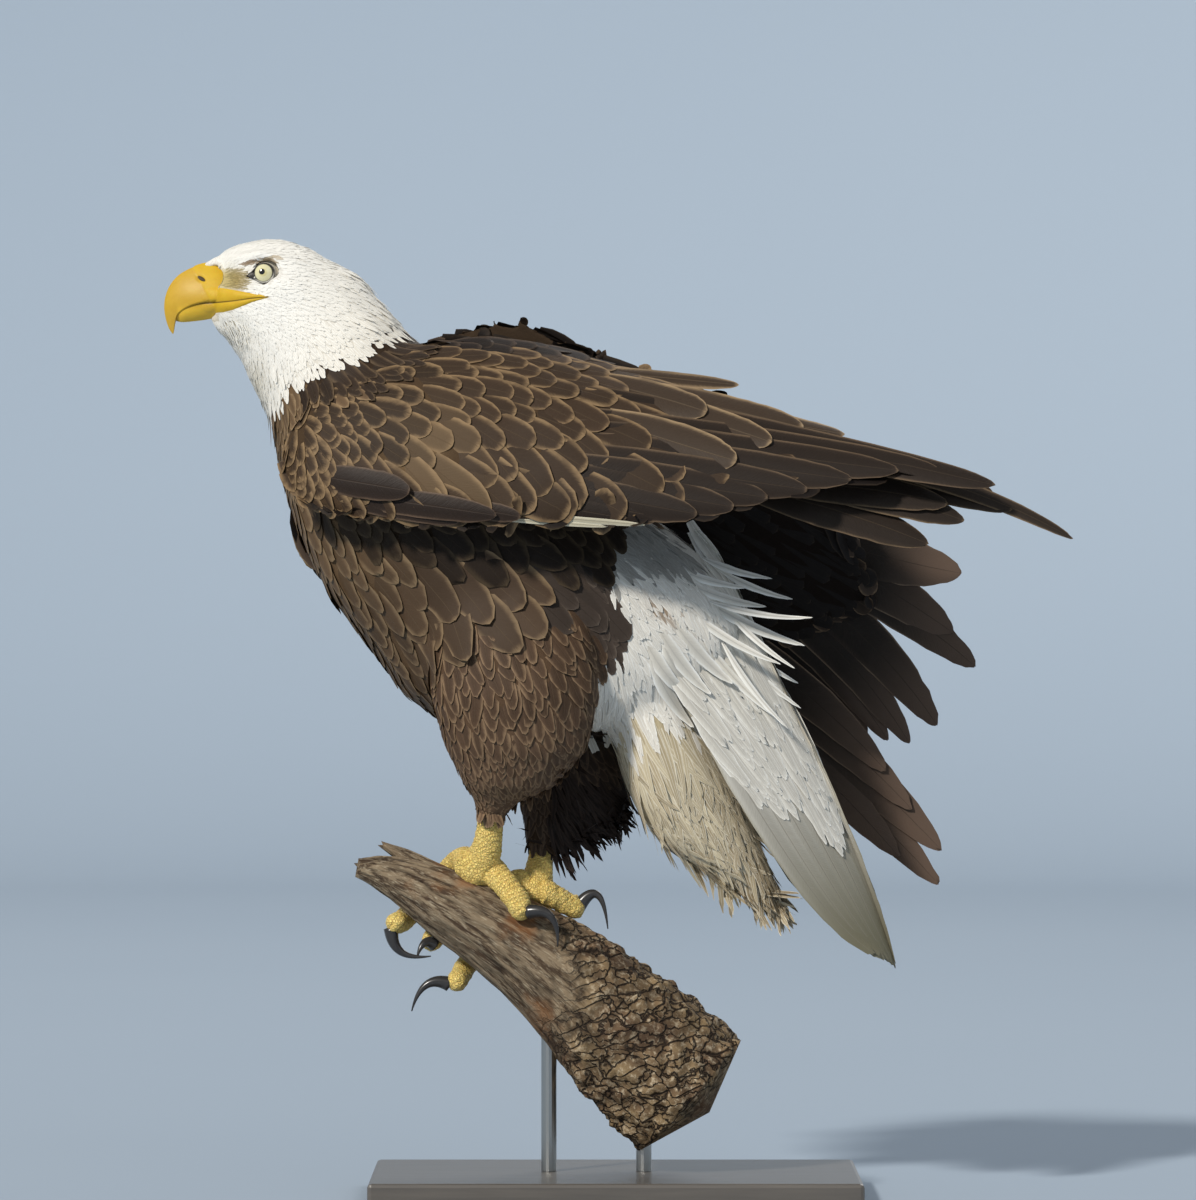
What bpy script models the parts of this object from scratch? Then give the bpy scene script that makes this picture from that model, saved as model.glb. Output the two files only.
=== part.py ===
"""Bald eagle, life size, gripping a short cut length of a dead branch on a plain display stand.

Metres, +Z up. The bird faces -X, its left side is -Y. The origin is the middle of the stand's underside.
Every flesh part is a loft of rings. A ring is set by its dorsal and ventral points in the bird's
mid plane (x, z, in millimetres), its half width and the y of its middle.
"""

import math

import bmesh
import bpy
from mathutils import Quaternion, Vector

MM = 0.001
GAP = 0.5          # growth of a cutter in mm, which leaves about 0.35 mm between neighbours
SHARPEST = 2.5     # limit on how much further a cutter grows at its sharp corners
SIDE_Y = Vector((0.0, 1.0, 0.0))

# Stand, mm
BASE_LENGTH, BASE_DEPTH, BASE_HEIGHT, BASE_BEVEL = 380.0, 260.0, 20.0, 3.0
ROD_RADIUS = 6.0
ROD_X = (-52.0, 22.0)
ROD_SEAT = 0.3     # clearance between a rod's foot and the base

# Eyes, mm
EYE_RADIUS = 11.5
EYE_PLACE = (-271.8, 20.5, 719.6)   # x, distance from the mid plane, z

# Feathered body from the brow to the rump: dorsal x, z, ventral x, z, half width
BODY = [
    (-313, 732, -314, 684, 13.5),
    (-304, 739, -309, 678, 19.5),
    (-292, 744, -302, 671, 25.5),
    (-276, 748, -295, 661, 30.5),
    (-258, 748, -291, 650, 34.0),
    (-237, 741, -287, 636, 37.5),
    (-216, 729, -282, 626, 42.0),
    (-195, 712, -276, 615, 48.0),
    (-176, 693, -271, 604, 55.0),
    (-159, 673, -268, 590, 63.0),
    (-139, 656, -264, 567, 74.0),
    (-107, 634, -257, 540, 83.0),
    (-73, 610, -244, 505, 87.0),
    (-37, 583, -223, 466, 87.0),
    (-3, 553, -193, 428, 83.0),
    (34, 529, -168, 392, 77.0),
    (66, 505, -130, 365, 69.0),
    (89, 478, -82, 354, 60.0),
    (101, 450, -36, 356, 49.0),
    (99, 423, 2, 366, 38.0),
    (86, 400, 33, 378, 22.0),
]
HEAD_END, NECK_END, TRUNK_END = 6, 9, 17     # numbers of the rings at which the head, neck and trunk end

UPPER_BILL = [
    (-302, 722, -274, 701, 15.5),
    (-316, 729, -303, 698.5, 14.5),
    (-327, 727, -320, 696.5, 12.8),
    (-337, 721, -328, 693.5, 11.0),
    (-346, 711, -334, 691, 9.0),
    (-351.5, 699, -339, 687.5, 6.6),
    (-352, 688, -343.5, 683, 4.4),
    (-349.5, 679, -345, 677, 2.3),
    (-347.5, 673.5, -346.3, 672.8, 0.8),
]
LOWER_BILL = [
    (-275, 699.5, -280, 692, 14.5),
    (-297, 697, -301, 686, 12.6),
    (-315, 694, -318, 682, 10.4),
    (-328, 691, -330, 680.5, 7.6),
    (-337, 687, -338, 681, 4.2),
]

# Wings: upper edge x, y, z, lower edge x, y, z, half thickness, outward bulge. y is for the right wing.
LEFT_WING = [
    (-254, 62, 598, -261, 72, 566, 4.0, 2),
    (-229, 58, 628, -246, 86, 541, 9.0, 8),
    (-191, 44, 650, -211, 100, 528, 12.0, 14),
    (-152, 30, 666, -160, 110, 522, 13.5, 18),
    (-106, 19, 672, -106, 118, 520, 13.5, 20),
    (-59, 13, 667, -43, 122, 523, 12.5, 20),
    (-12, 11, 654, 19, 124, 526, 11.0, 18),
    (35, 13, 638, 82, 122, 534, 9.0, 15),
    (82, 20, 622, 136, 116, 546, 7.0, 11),
    (136, 32, 601, 183, 106, 558, 5.0, 7),
    (183, 42, 585, 218, 96, 564, 3.4, 4),
    (222, 52, 573, 243, 86, 562, 2.2, 1),
]
RIGHT_WING = [
    (-246, 62, 567, -254, 76, 532, 4.0, 2),
    (-223, 60, 606, -251, 92, 506, 9.0, 8),
    (-184, 45, 649, -207, 106, 466, 12.0, 14),
    (-141, 30, 675, -145, 114, 438, 13.5, 18),
    (-102, 20, 685, -82, 120, 419, 13.5, 20),
    (-71, 15, 685, -20, 124, 411, 12.5, 20),
    (-32, 12, 667, 43, 126, 411, 11.0, 18),
    (19, 14, 646, 97, 124, 419, 9.0, 15),
    (66, 22, 622, 144, 118, 434, 7.0, 11),
    (121, 34, 590, 183, 110, 450, 5.0, 7),
    (167, 46, 559, 206, 100, 466, 2.6, 3),
]

# Flight feathers that stand clear of the wings: root x, y, z, tip x, y, z, width, sag of the shaft
LEFT_PRIMARIES = [
    (205, -76, 572, 291, -70, 547, 26, 3),
    (208, -80, 566, 352, -76, 513, 15, 9),
    (150, -86, 556, 268, -82, 527, 30, 4),
    (110, -92, 550, 240, -88, 509, 34, 4),
]
RIGHT_SECONDARIES = [
    (150, 108, 520, 275, 112, 487, 46, -4),
    (140, 111, 505, 286, 115, 413, 36, 8),
    (128, 114, 490, 256, 118, 366, 37, 12),
    (112, 117, 480, 234, 121, 352, 31, 12),
    (98, 120, 474, 217, 124, 354, 28, 12),
    (84, 123, 470, 201, 127, 356, 27, 12),
    (68, 126, 464, 185, 130, 358, 27, 12),
]
RIGHT_PRIMARIES = [
    (10, 129, 455, 259, 112, 267, 42, 14),
    (-2, 132, 445, 257, 115, 240, 38, 14),
    (-16, 135, 438, 190, 120, 266, 40, 10),
]
QUILL_THICKNESS = 1.8

# Tail: ridge x, z, near lower edge x, z, half width
TAIL = [
    (93, 468, 27, 433, 40.0),
    (124, 404, 66, 367, 43.0),
    (156, 338, 103, 301, 42.0),
    (182, 277, 139, 240, 39.0),
    (205, 222, 178, 203, 30.0),
    (218, 180, 207, 174, 15.0),
]
TAIL_THICKNESS = 9.0
TAIL_PITCH = 1.25      # 1 is a straight roof, more rounds its ridge
UNDERTAIL = [
    (52, 440, -6, 424, 38.0),
    (66, 392, -11, 380, 40.0),
    (83, 346, 5, 322, 36.0),
    (101, 305, 31, 279, 28.0),
    (117, 266, 71, 252, 18.0),
    (126, 238, 110, 233, 7.0),
]

# Thighs: front x, z, rear x, z, half width, y of the middle for the right side
LEFT_THIGH = [
    (-140, 462, -28, 470, 26.0, 58),
    (-148, 427, -13, 434, 34.0, 62),
    (-144, 388, -10, 395, 37.0, 62),
    (-134, 353, -20, 350, 33.0, 56),
    (-121, 324, -46, 320, 24.0, 46),
    (-112, 310, -74, 307, 17.0, 34),
    (-109, 297, -84, 296, 12.5, 29),
]
RIGHT_THIGH = [
    (-118, 466, -4, 470, 26.0, 58),
    (-116, 427, 3, 430, 34.0, 60),
    (-108, 388, 10, 388, 36.0, 60),
    (-96, 349, 14, 333, 32.0, 54),
    (-80, 317, 6, 296, 25.0, 44),
    (-75, 294, -26, 278, 18.0, 32),
    (-71, 270, -46, 268, 12.5, 26),
]

# Perch: axis x, z and radius of the stub, then of its upper splinter
STUB = [
    (-199, 257, 8),
    (-182, 253, 14),
    (-160, 244, 20),
    (-129, 228, 28),
    (-95, 209, 34),
    (-59, 185, 40),
    (-25, 158, 47),
    (4, 130, 54),
    (34, 102, 58),
    (58, 80, 59),
]
SPLINTER = [
    (-180, 273, 3.5),
    (-150, 256, 9),
    (-118, 236, 13),
    (-92, 216, 14),
]
SPLINTER_Y = 9.0

# Legs: x, y, z of the shank's rings and their radii
LEFT_SHANK = [
    (-97, -31, 316, 6.5),
    (-97, -28, 300, 9.0),
    (-98, -25, 285, 10.0),
    (-101, -19, 270, 12.0),
    (-106, -10, 258, 16.0),
    (-108, -6, 250, 14.0),
]
RIGHT_SHANK = [
    (-58, 30, 292, 6.0),
    (-59, 26, 274, 8.0),
    (-59, 24, 262, 9.5),
    (-61, 19, 248, 11.5),
    (-65, 13, 236, 15.0),
    (-66, 11, 230, 13.0),
]

# Toes wrap the stub. They start on top of it and are set by: start and end station along the stub's
# axis, start and end angle round it (degrees from the top, + to the bird's right), radius, and how far
# the end hangs clear
LEFT_TOES = {
    "inner": (-131, -157, -27, 178, 10.0, 2),
    "middle": (-125, -128, -4, 150, 10.0, 0),
    "outer": (-117, -109, 13, 100, 9.0, 0),
    "hind": (-119, -88, -14, -55, 11.0, 0),
}
RIGHT_TOES = {
    "inner": (-97, -99, 4, 176, 9.5, 8),
    "middle": (-90, -81, 20, 106, 10.0, 0),
    "outer": (-79, -60, 36, 98, 8.6, 0),
    "hind": (-82, -60, 4, 14, 10.0, 0),
}
# Claws by root, crown of the arc and point. The rest carry on round the stub from their toes
CLAW_PATHS = {
    "left_inner": ((-175, 3, 209), (-167, 1, 191), (-144, -2, 188)),
    "left_middle": ((-142, 14, 197), (-150, 8, 197), (-155, 4, 186)),
    "left_hind": ((-68, -40, 224), (-50, -45, 220), (-45, -41, 197)),
    "right_inner": ((-130, 5, 166), (-148, 3, 165), (-159, 1, 145)),
    "right_hind": ((-29, 14, 226), (-14, 12, 235), (-6, 6, 209)),
}
CLAW_LENGTH = 38.0                   # of a claw with no path of its own
CLAW_CROWN, CLAW_REACH, CLAW_HOOK = 0.55, 0.7, 0.45     # its crown, point and drop, as shares of that
CLAW_RISE = 2.0                      # of its crown off the bark
CLAW_BASE, CLAW_TIP = 5.2, 0.9       # radii
KNUCKLE = 1.2                        # rise of the knuckles over the pads between them
SINK = 0.6                           # how far the toes press into the bark before the fit is cut
TOE_TAPER = 0.14                     # share of its radius that a toe loses by its end


def clear_scene():
    for old in list(bpy.data.objects):
        bpy.data.objects.remove(old)


def make_material(name, colour, roughness, metallic=0.0):
    material = bpy.data.materials.new(name)
    material.use_nodes = True
    shader = material.node_tree.nodes["Principled BSDF"]
    shader.inputs["Base Color"].default_value = (*colour, 1.0)
    shader.inputs["Roughness"].default_value = roughness
    shader.inputs["Metallic"].default_value = metallic
    return material


def add_object(name, bm, material):
    """The bmesh as a named object in the scene, its faces flat and pointing out."""
    bmesh.ops.triangulate(bm, faces=bm.faces)
    bmesh.ops.recalc_face_normals(bm, faces=bm.faces)
    mesh = bpy.data.meshes.new(name)
    bm.to_mesh(mesh)
    bm.free()
    mesh.materials.append(material)
    mesh.shade_smooth()
    mesh.set_sharp_from_angle(angle=math.radians(50))
    made = bpy.data.objects.new(name, mesh)
    bpy.context.collection.objects.link(made)
    return made


def eased(rows, steps):
    """Rows of numbers with steps - 1 more between each pair, on a Catmull-Rom curve."""
    found = []
    for i in range(len(rows) - 1):
        before, start = rows[max(i - 1, 0)], rows[i]
        end, after = rows[i + 1], rows[min(i + 2, len(rows) - 1)]
        for k in range(steps):
            t = k / steps
            found.append(tuple(
                0.5 * (2 * b + (c - a) * t + (2 * a - 5 * b + 4 * c - d) * t * t
                       + (3 * b - a - 3 * c + d) * t ** 3)
                for a, b, c, d in zip(before, start, end, after)))
    found.append(tuple(rows[-1]))
    return found


def add_ring(bm, places):
    """A ring of vertices at these places, in mm."""
    made = bmesh.ops.create_circle(bm, cap_ends=False, segments=len(places), radius=1.0)
    for vert, place in zip(made["verts"], places):
        vert.co = Vector(place) * MM
    return made["verts"]


def add_loft(bm, rings):
    """A closed tube through rings with the same number of places, with flat ends."""
    rows = [add_ring(bm, places) for places in rings]
    for one, two in zip(rows, rows[1:]):
        for i in range(len(one)):
            j = (i + 1) % len(one)
            bm.faces.new((one[i], one[j], two[j], two[i]))
    bm.faces.new(rows[0])
    bm.faces.new(list(reversed(rows[-1])))


def power(value, exponent):
    return math.copysign(abs(value) ** exponent, value)


def oval(dorsal, ventral, across, half_width, bulge=0.0, segments=16, low_box=2.0, high_box=2.0):
    """Places round an oval from a dorsal to a ventral point. A box above 2 squares that half."""
    middle, half = (dorsal + ventral) / 2, (dorsal - ventral) / 2
    side = across.normalized()
    places = []
    for i in range(segments):
        angle = 2 * math.pi * i / segments
        along, out = math.cos(angle), math.sin(angle)
        box = high_box if along > 0 else low_box
        out = power(out, 2 / box)
        along = power(along, 2 / box)
        places.append(middle + half * along + side * (half_width * out + bulge * (1 - along ** 2)))
    return places


def body_rings(rows, y=0.0, **shape):
    return [oval(Vector((r[0], y, r[1])), Vector((r[2], y, r[3])), SIDE_Y, r[4], **shape) for r in rows]


def body_length(name, rows, material, steps=1, **shape):
    bm = bmesh.new()
    add_loft(bm, body_rings(eased(rows, steps), **shape))
    return add_object(name, bm, material)


def tube(name, rows, material, segments=12, steps=2):
    """A round tube through x, y, z, radius."""
    rows = eased(rows, steps)
    points = [Vector(r[:3]) for r in rows]
    up = (points[-1] - points[0]).orthogonal().normalized()
    rings = []
    for i, (point, row) in enumerate(zip(points, rows)):
        along = (points[min(i + 1, len(points) - 1)] - points[max(i - 1, 0)]).normalized()
        one = (up - along * up.dot(along)).normalized()
        two = along.cross(one)
        up = one
        turns = [2 * math.pi * k / segments for k in range(segments)]
        rings.append([point + (one * math.cos(a) + two * math.sin(a)) * row[3] for a in turns])
    bm = bmesh.new()
    add_loft(bm, rings)
    return add_object(name, bm, material)


def bake(thing):
    """The object's mesh as its modifiers leave it, with the modifiers gone."""
    graph = bpy.context.evaluated_depsgraph_get()
    mesh = bpy.data.meshes.new_from_object(thing.evaluated_get(graph))
    thing.modifiers.clear()
    thing.data = mesh


def as_cutter(thing, grow):
    """A hidden copy of the object, its surface moved out by grow, in mm."""
    cutter = thing.copy()
    cutter.data = thing.data.copy()
    cutter.name = "cutter_" + thing.name
    cutter.hide_render = True
    cutter.display_type = "WIRE"
    bpy.context.collection.objects.link(cutter)
    bm = bmesh.new()
    bm.from_mesh(cutter.data)
    bm.normal_update()
    moves = [vert.normal * grow * MM * min(vert.calc_shell_factor(), SHARPEST) for vert in bm.verts]
    for vert, move in zip(bm.verts, moves):
        vert.co += move
    bm.to_mesh(cutter.data)
    bm.free()
    return cutter


def combine(thing, other, operation):
    step = thing.modifiers.new(operation.lower(), "BOOLEAN")
    step.operation = operation
    step.object = other
    bpy.context.view_layer.update()
    bake(thing)


def keep_largest(thing):
    """Removes any small offcut that a cut leaves loose."""
    bm = bmesh.new()
    bm.from_mesh(thing.data)
    left, islands = set(bm.verts), []
    while left:
        island, front = set(), [left.pop()]
        while front:
            vert = front.pop()
            island.add(vert)
            near = {edge.other_vert(vert) for edge in vert.link_edges} & left
            left -= near
            front.extend(near)
        islands.append(island)
    islands.sort(key=len)
    loose = [vert for island in islands[:-1] for vert in island]
    bmesh.ops.delete(bm, geom=loose, context="VERTS")
    bmesh.ops.triangulate(bm, faces=bm.faces)
    bmesh.ops.recalc_face_normals(bm, faces=bm.faces)
    bm.to_mesh(thing.data)
    bm.free()


def boxes_meet(one, two):
    """Whether the boxes round two meshes come within a few GAPs of each other."""
    for axis in range(3):
        first = [vert.co[axis] for vert in one.data.vertices]
        second = [vert.co[axis] for vert in two.data.vertices]
        if min(first) > max(second) + 3 * GAP * MM or min(second) > max(first) + 3 * GAP * MM:
            return False
    return True


def fit_in_turn(things):
    """Cuts each thing back from those before it in the list, so that none overlap."""
    for turn, thing in enumerate(things):
        for other in things[:turn]:
            if not boxes_meet(thing, other):
                continue
            cutter = as_cutter(other, GAP)
            combine(thing, cutter, "DIFFERENCE")
            bpy.data.objects.remove(cutter)
            keep_largest(thing)


def make_body(white, brown):
    """Head, neck, trunk and rump, four lengths of one run of rings."""
    head = body_length("head", BODY[:HEAD_END + 1], white, segments=16)
    bare_neck = body_length("neck", BODY[HEAD_END:NECK_END + 1], white, segments=16)
    trunk = body_length("trunk", BODY[NECK_END:TRUNK_END + 1], brown, segments=16)
    rump = body_length("rump", BODY[TRUNK_END:], white, segments=16)
    return [head, bare_neck, trunk, rump]


def make_bill(bill_yellow):
    upper = body_length("bill_upper", UPPER_BILL, bill_yellow, steps=2, segments=14, low_box=3.2)
    lower = body_length("bill_lower", LOWER_BILL, bill_yellow, segments=12, high_box=3.2)
    return [upper, lower]


def make_eyes(material):
    made = []
    for name, side in (("eye_left", -1), ("eye_right", 1)):
        bm = bmesh.new()
        bmesh.ops.create_uvsphere(bm, u_segments=12, v_segments=8, radius=EYE_RADIUS * MM)
        place = Vector((EYE_PLACE[0], EYE_PLACE[1] * side, EYE_PLACE[2])) * MM
        bmesh.ops.translate(bm, verts=bm.verts, vec=place)
        made.append(add_object(name, bm, material))
    return made


def make_wing(name, rows, side, material):
    rings = []
    for r in rows:
        upper, lower = Vector((r[0], r[1] * side, r[2])), Vector((r[3], r[4] * side, r[5]))
        chord = upper - lower
        out = Vector((0.0, chord.z, -chord.y)) * side
        rings.append(oval(upper, lower, out, r[6], bulge=r[7], segments=14))
    bm = bmesh.new()
    add_loft(bm, rings)
    return add_object(name, bm, material)


def make_quill(name, row, material):
    """A flight feather as a thin vane in an upright plane, its shaft bowed by a sag."""
    root, tip, width, sag = Vector(row[0:3]), Vector(row[3:6]), row[6], row[7]
    along = tip - root
    across = Vector((-along.z, 0.0, along.x)).normalized()
    stations = (0.0, 0.12, 0.3, 0.5, 0.7, 0.85, 0.94, 1.0)
    rings = []
    for t in stations:
        taper = (1 - t ** 5) ** 0.5 * min(1.0, 0.55 + 1.5 * t)
        half = max(width / 2 * taper, 1.0)
        middle = root + along * t + across * sag * 4 * t * (1 - t)
        thick = QUILL_THICKNESS / 2 * (1 - 0.3 * t)
        rings.append([
            middle + across * half,
            middle + SIDE_Y * thick,
            middle - across * half,
            middle - SIDE_Y * thick,
        ])
    bm = bmesh.new()
    add_loft(bm, rings)
    return add_object(name, bm, material)


def make_quills(label, rows, material):
    return [make_quill(f"{label}_{number}", row, material) for number, row in enumerate(rows, 1)]


def make_tail(material):
    """The closed tail, roofed along its middle: a bent sheet in each ring."""
    rings = []
    shares = [-1, -0.78, -0.5, -0.2, 0.2, 0.5, 0.78, 1]
    for r in eased(TAIL, 2):
        ridge, edge = Vector((r[0], 0, r[1])), Vector((r[2], 0, r[3]))
        drop = edge - ridge
        inset = drop.normalized() * min(TAIL_THICKNESS, drop.length * 0.6)
        narrow = 1 - min(TAIL_THICKNESS * 0.5, r[4] * 0.4) / r[4]
        outer, inner = [], []
        for s in shares:
            roof = ridge + drop * abs(s) ** TAIL_PITCH
            outer.append(roof + SIDE_Y * r[4] * s)
            inner.append(roof + inset * (1 - 0.8 * abs(s)) + SIDE_Y * r[4] * s * narrow)
        rings.append(outer + list(reversed(inner)))
    bm = bmesh.new()
    add_loft(bm, rings)
    return add_object("tail", bm, material)


def make_thigh(name, rows, side, material):
    rings = []
    for r in rows:
        front, rear = Vector((r[0], r[5] * side, r[1])), Vector((r[2], r[5] * side, r[3]))
        rings.append(oval(front, rear, SIDE_Y, r[4], segments=12))
    bm = bmesh.new()
    add_loft(bm, rings)
    return add_object(name, bm, material)


def stub_at(x):
    """Axis height and radius of the stub at x."""
    for one, two in zip(STUB, STUB[1:]):
        if one[0] <= x <= two[0]:
            t = (x - one[0]) / (two[0] - one[0])
            return one[1] + (two[1] - one[1]) * t, one[2] + (two[2] - one[2]) * t
    return STUB[0][1:] if x < STUB[0][0] else STUB[-1][1:]


def on_stub(x, degrees, height):
    """The place at a height over the stub's bark, at an angle round it from the top."""
    z, radius = stub_at(x)
    ahead, behind = stub_at(x + 5), stub_at(x - 5)
    slope = math.atan2(ahead[0] - behind[0], 10)
    up = Vector((-math.sin(slope), 0, math.cos(slope)))
    angle = math.radians(degrees)
    out = up * math.cos(angle) + SIDE_Y * math.sin(angle)
    return Vector((x, 0, z)) + out * (radius + height), out


def make_perch(material):
    stub = tube("perch_branch", [(x, 0, z, r) for x, z, r in STUB], material, segments=18, steps=1)
    rows = [(x, SPLINTER_Y, z, r) for x, z, r in SPLINTER]
    splinter = tube("splinter", rows, material, segments=10, steps=1)
    combine(stub, splinter, "UNION")
    bpy.data.objects.remove(splinter)
    return stub


def toe_course(row):
    """Middle line of a toe over the stub, with its radii, and the way out from the bark at its end."""
    start_x, end_x, start_angle, end_angle, radius, hang = row
    course, count = [], 6
    for i in range(count + 1):
        t = i / count
        x = start_x + (end_x - start_x) * t
        angle = start_angle + (end_angle - start_angle) * t
        lift = radius - SINK + KNUCKLE * math.sin(math.pi * t * 3) ** 2 + hang * t ** 3
        place, out = on_stub(x, angle, lift)
        course.append((*place, radius * (1.0 - TOE_TAPER * t)))
    return course, out


def claw_course(course, out, path):
    """A claw's middle line and radii, on its own path or curling on from its toe."""
    if path:
        root, crown, point = (Vector(place) for place in path)
    else:
        root = Vector(course[-1][:3])
        along = (root - Vector(course[-2][:3])).normalized()
        crown = root + along * CLAW_LENGTH * CLAW_CROWN + out * CLAW_RISE
        point = root + along * CLAW_LENGTH * CLAW_REACH - out * CLAW_LENGTH * CLAW_HOOK
    control = crown * 2 - (root + point) / 2
    hook = []
    for i in range(7):
        t = i / 6
        place = root * (1 - t) ** 2 + control * 2 * t * (1 - t) + point * t * t
        hook.append((*place, CLAW_BASE + (CLAW_TIP - CLAW_BASE) * t ** 0.8))
    return hook


def make_foot(side_name, shank_rows, toes, skin, horn):
    """Shank, four toes and four claws of one leg."""
    made = [tube(f"shank_{side_name}", shank_rows, skin, segments=10)]
    for toe_name, row in toes.items():
        course, out = toe_course(row)
        hook = claw_course(course, out, CLAW_PATHS.get(f"{side_name}_{toe_name}"))
        made.append(tube(f"toe_{side_name}_{toe_name}", course, skin, segments=8, steps=1))
        made.append(tube(f"claw_{side_name}_{toe_name}", hook, horn, segments=7, steps=1))
    return made


def make_stand(wood, steel):
    bm = bmesh.new()
    bmesh.ops.create_cube(bm, size=1.0)
    bmesh.ops.scale(bm, verts=bm.verts, vec=Vector((BASE_LENGTH, BASE_DEPTH, BASE_HEIGHT)) * MM)
    bmesh.ops.translate(bm, verts=bm.verts, vec=(0, 0, BASE_HEIGHT / 2 * MM))
    base = add_object("stand_base", bm, wood)
    edge = base.modifiers.new("edge", "BEVEL")
    edge.width = BASE_BEVEL * MM
    edge.segments = 2
    rods = []
    for name, x in (("stand_rod_front", ROD_X[0]), ("stand_rod_rear", ROD_X[1])):
        top, _ = stub_at(x)
        rows = [(x, 0, BASE_HEIGHT + ROD_SEAT, ROD_RADIUS), (x, 0, top, ROD_RADIUS)]
        rods.append(tube(name, rows, steel, segments=16, steps=1))
    return rods


def main():
    clear_scene()
    white = make_material("white_feather", (0.86, 0.84, 0.78), 0.75)
    brown = make_material("brown_feather", (0.105, 0.075, 0.052), 0.7)
    dark = make_material("flight_feather", (0.045, 0.033, 0.026), 0.55)
    bill_yellow = make_material("bill", (0.82, 0.53, 0.05), 0.35)
    skin = make_material("foot_skin", (0.85, 0.6, 0.07), 0.5)
    horn = make_material("claw_horn", (0.02, 0.02, 0.022), 0.25)
    iris = make_material("eye", (0.8, 0.78, 0.5), 0.08)
    bark = make_material("dead_wood", (0.33, 0.28, 0.22), 0.85)
    wood = make_material("stand_wood", (0.55, 0.52, 0.47), 0.45)
    steel = make_material("stand_steel", (0.62, 0.62, 0.6), 0.3, 1.0)

    front = make_bill(bill_yellow) + make_eyes(iris)
    body = make_body(white, brown)
    tail = make_tail(white)
    left_wing = make_wing("wing_left", LEFT_WING, -1, brown)
    right_wing = make_wing("wing_right", RIGHT_WING, 1, brown)
    thighs = [
        make_thigh("thigh_left", LEFT_THIGH, -1, brown),
        make_thigh("thigh_right", RIGHT_THIGH, 1, brown),
    ]
    undertail = body_length("undertail_coverts", UNDERTAIL, white, segments=16)
    quills = make_quills("wing_left_primary", LEFT_PRIMARIES, dark)
    quills += make_quills("wing_right_secondary", RIGHT_SECONDARIES, dark)
    quills += make_quills("wing_right_primary", RIGHT_PRIMARIES, dark)
    perch = make_perch(bark)
    feet = make_foot("left", LEFT_SHANK, LEFT_TOES, skin, horn)
    feet += make_foot("right", RIGHT_SHANK, RIGHT_TOES, skin, horn)
    rods = make_stand(wood, steel)

    bird = front + body + [left_wing, right_wing, tail]
    fit_in_turn(bird + [perch] + feet + rods + thighs + [undertail] + quills)


main()
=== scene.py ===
"""A life-size bald eagle on a cut length of dead branch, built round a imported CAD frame.

The file is laid out as a Blender add-on. Each operator makes one piece or a group of like pieces.
Sizes are in millimetres unless a name says otherwise. The bird faces -X and its left side is -Y.
"""

import math

import bmesh
import bpy
import numpy as np
from mathutils import Matrix, Vector, noise as solid_noise
from mathutils.bvhtree import BVHTree
from mathutils.kdtree import KDTree


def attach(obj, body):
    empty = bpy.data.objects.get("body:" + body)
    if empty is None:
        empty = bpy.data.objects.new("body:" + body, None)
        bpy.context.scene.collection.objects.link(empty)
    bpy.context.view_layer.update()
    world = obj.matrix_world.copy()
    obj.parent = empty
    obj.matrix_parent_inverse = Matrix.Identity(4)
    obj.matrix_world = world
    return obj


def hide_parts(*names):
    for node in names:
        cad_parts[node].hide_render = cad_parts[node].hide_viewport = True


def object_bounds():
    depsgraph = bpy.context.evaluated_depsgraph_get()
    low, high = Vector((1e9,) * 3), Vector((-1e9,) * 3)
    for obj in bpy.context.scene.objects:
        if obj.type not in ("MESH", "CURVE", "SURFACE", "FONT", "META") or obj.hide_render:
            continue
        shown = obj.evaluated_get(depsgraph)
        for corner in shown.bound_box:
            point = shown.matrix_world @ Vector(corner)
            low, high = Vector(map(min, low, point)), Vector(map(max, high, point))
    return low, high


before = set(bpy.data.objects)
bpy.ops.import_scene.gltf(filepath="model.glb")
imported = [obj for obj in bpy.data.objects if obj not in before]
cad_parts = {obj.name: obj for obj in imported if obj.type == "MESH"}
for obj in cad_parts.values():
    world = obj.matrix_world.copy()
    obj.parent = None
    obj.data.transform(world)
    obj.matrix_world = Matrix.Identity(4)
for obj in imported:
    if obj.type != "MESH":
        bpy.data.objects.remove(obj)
CAD_LOW, CAD_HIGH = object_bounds()
CAD_BOX = np.array(CAD_LOW), np.array(CAD_HIGH)

bl_info = {
    "name": "Bald eagle on a branch",
    "version": (1, 0, 0),
    "blender": (4, 5, 0),
    "location": "3D View > Sidebar > Eagle",
    "description": "Builds the feathers, bill, eyes, feet, perch and stand of a life-size bald eagle",
    "category": "Add Mesh",
}

MM = 0.001

BODY_NODES = ("head", "neck", "trunk", "rump", "undertail_coverts")
LIMB_NODES = ("wing_left", "wing_right", "thigh_left", "thigh_right")
SKIN_NODES = BODY_NODES + LIMB_NODES
TOES = ("inner", "middle", "outer", "hind")
EYE_X, EYE_Y, EYE_Z = -271.8, 20.5, 719.6
BARE_AHEAD, BARE_BEHIND, BARE_HIGH = 12.0, 8.9, 6.6  # how far round an eye no feather grows
LID_REACH, LID_AHEAD, LID_THICK = 7.75, 8.2, 0.7  # the lids' ring: radius, how far out, half its depth

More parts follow.
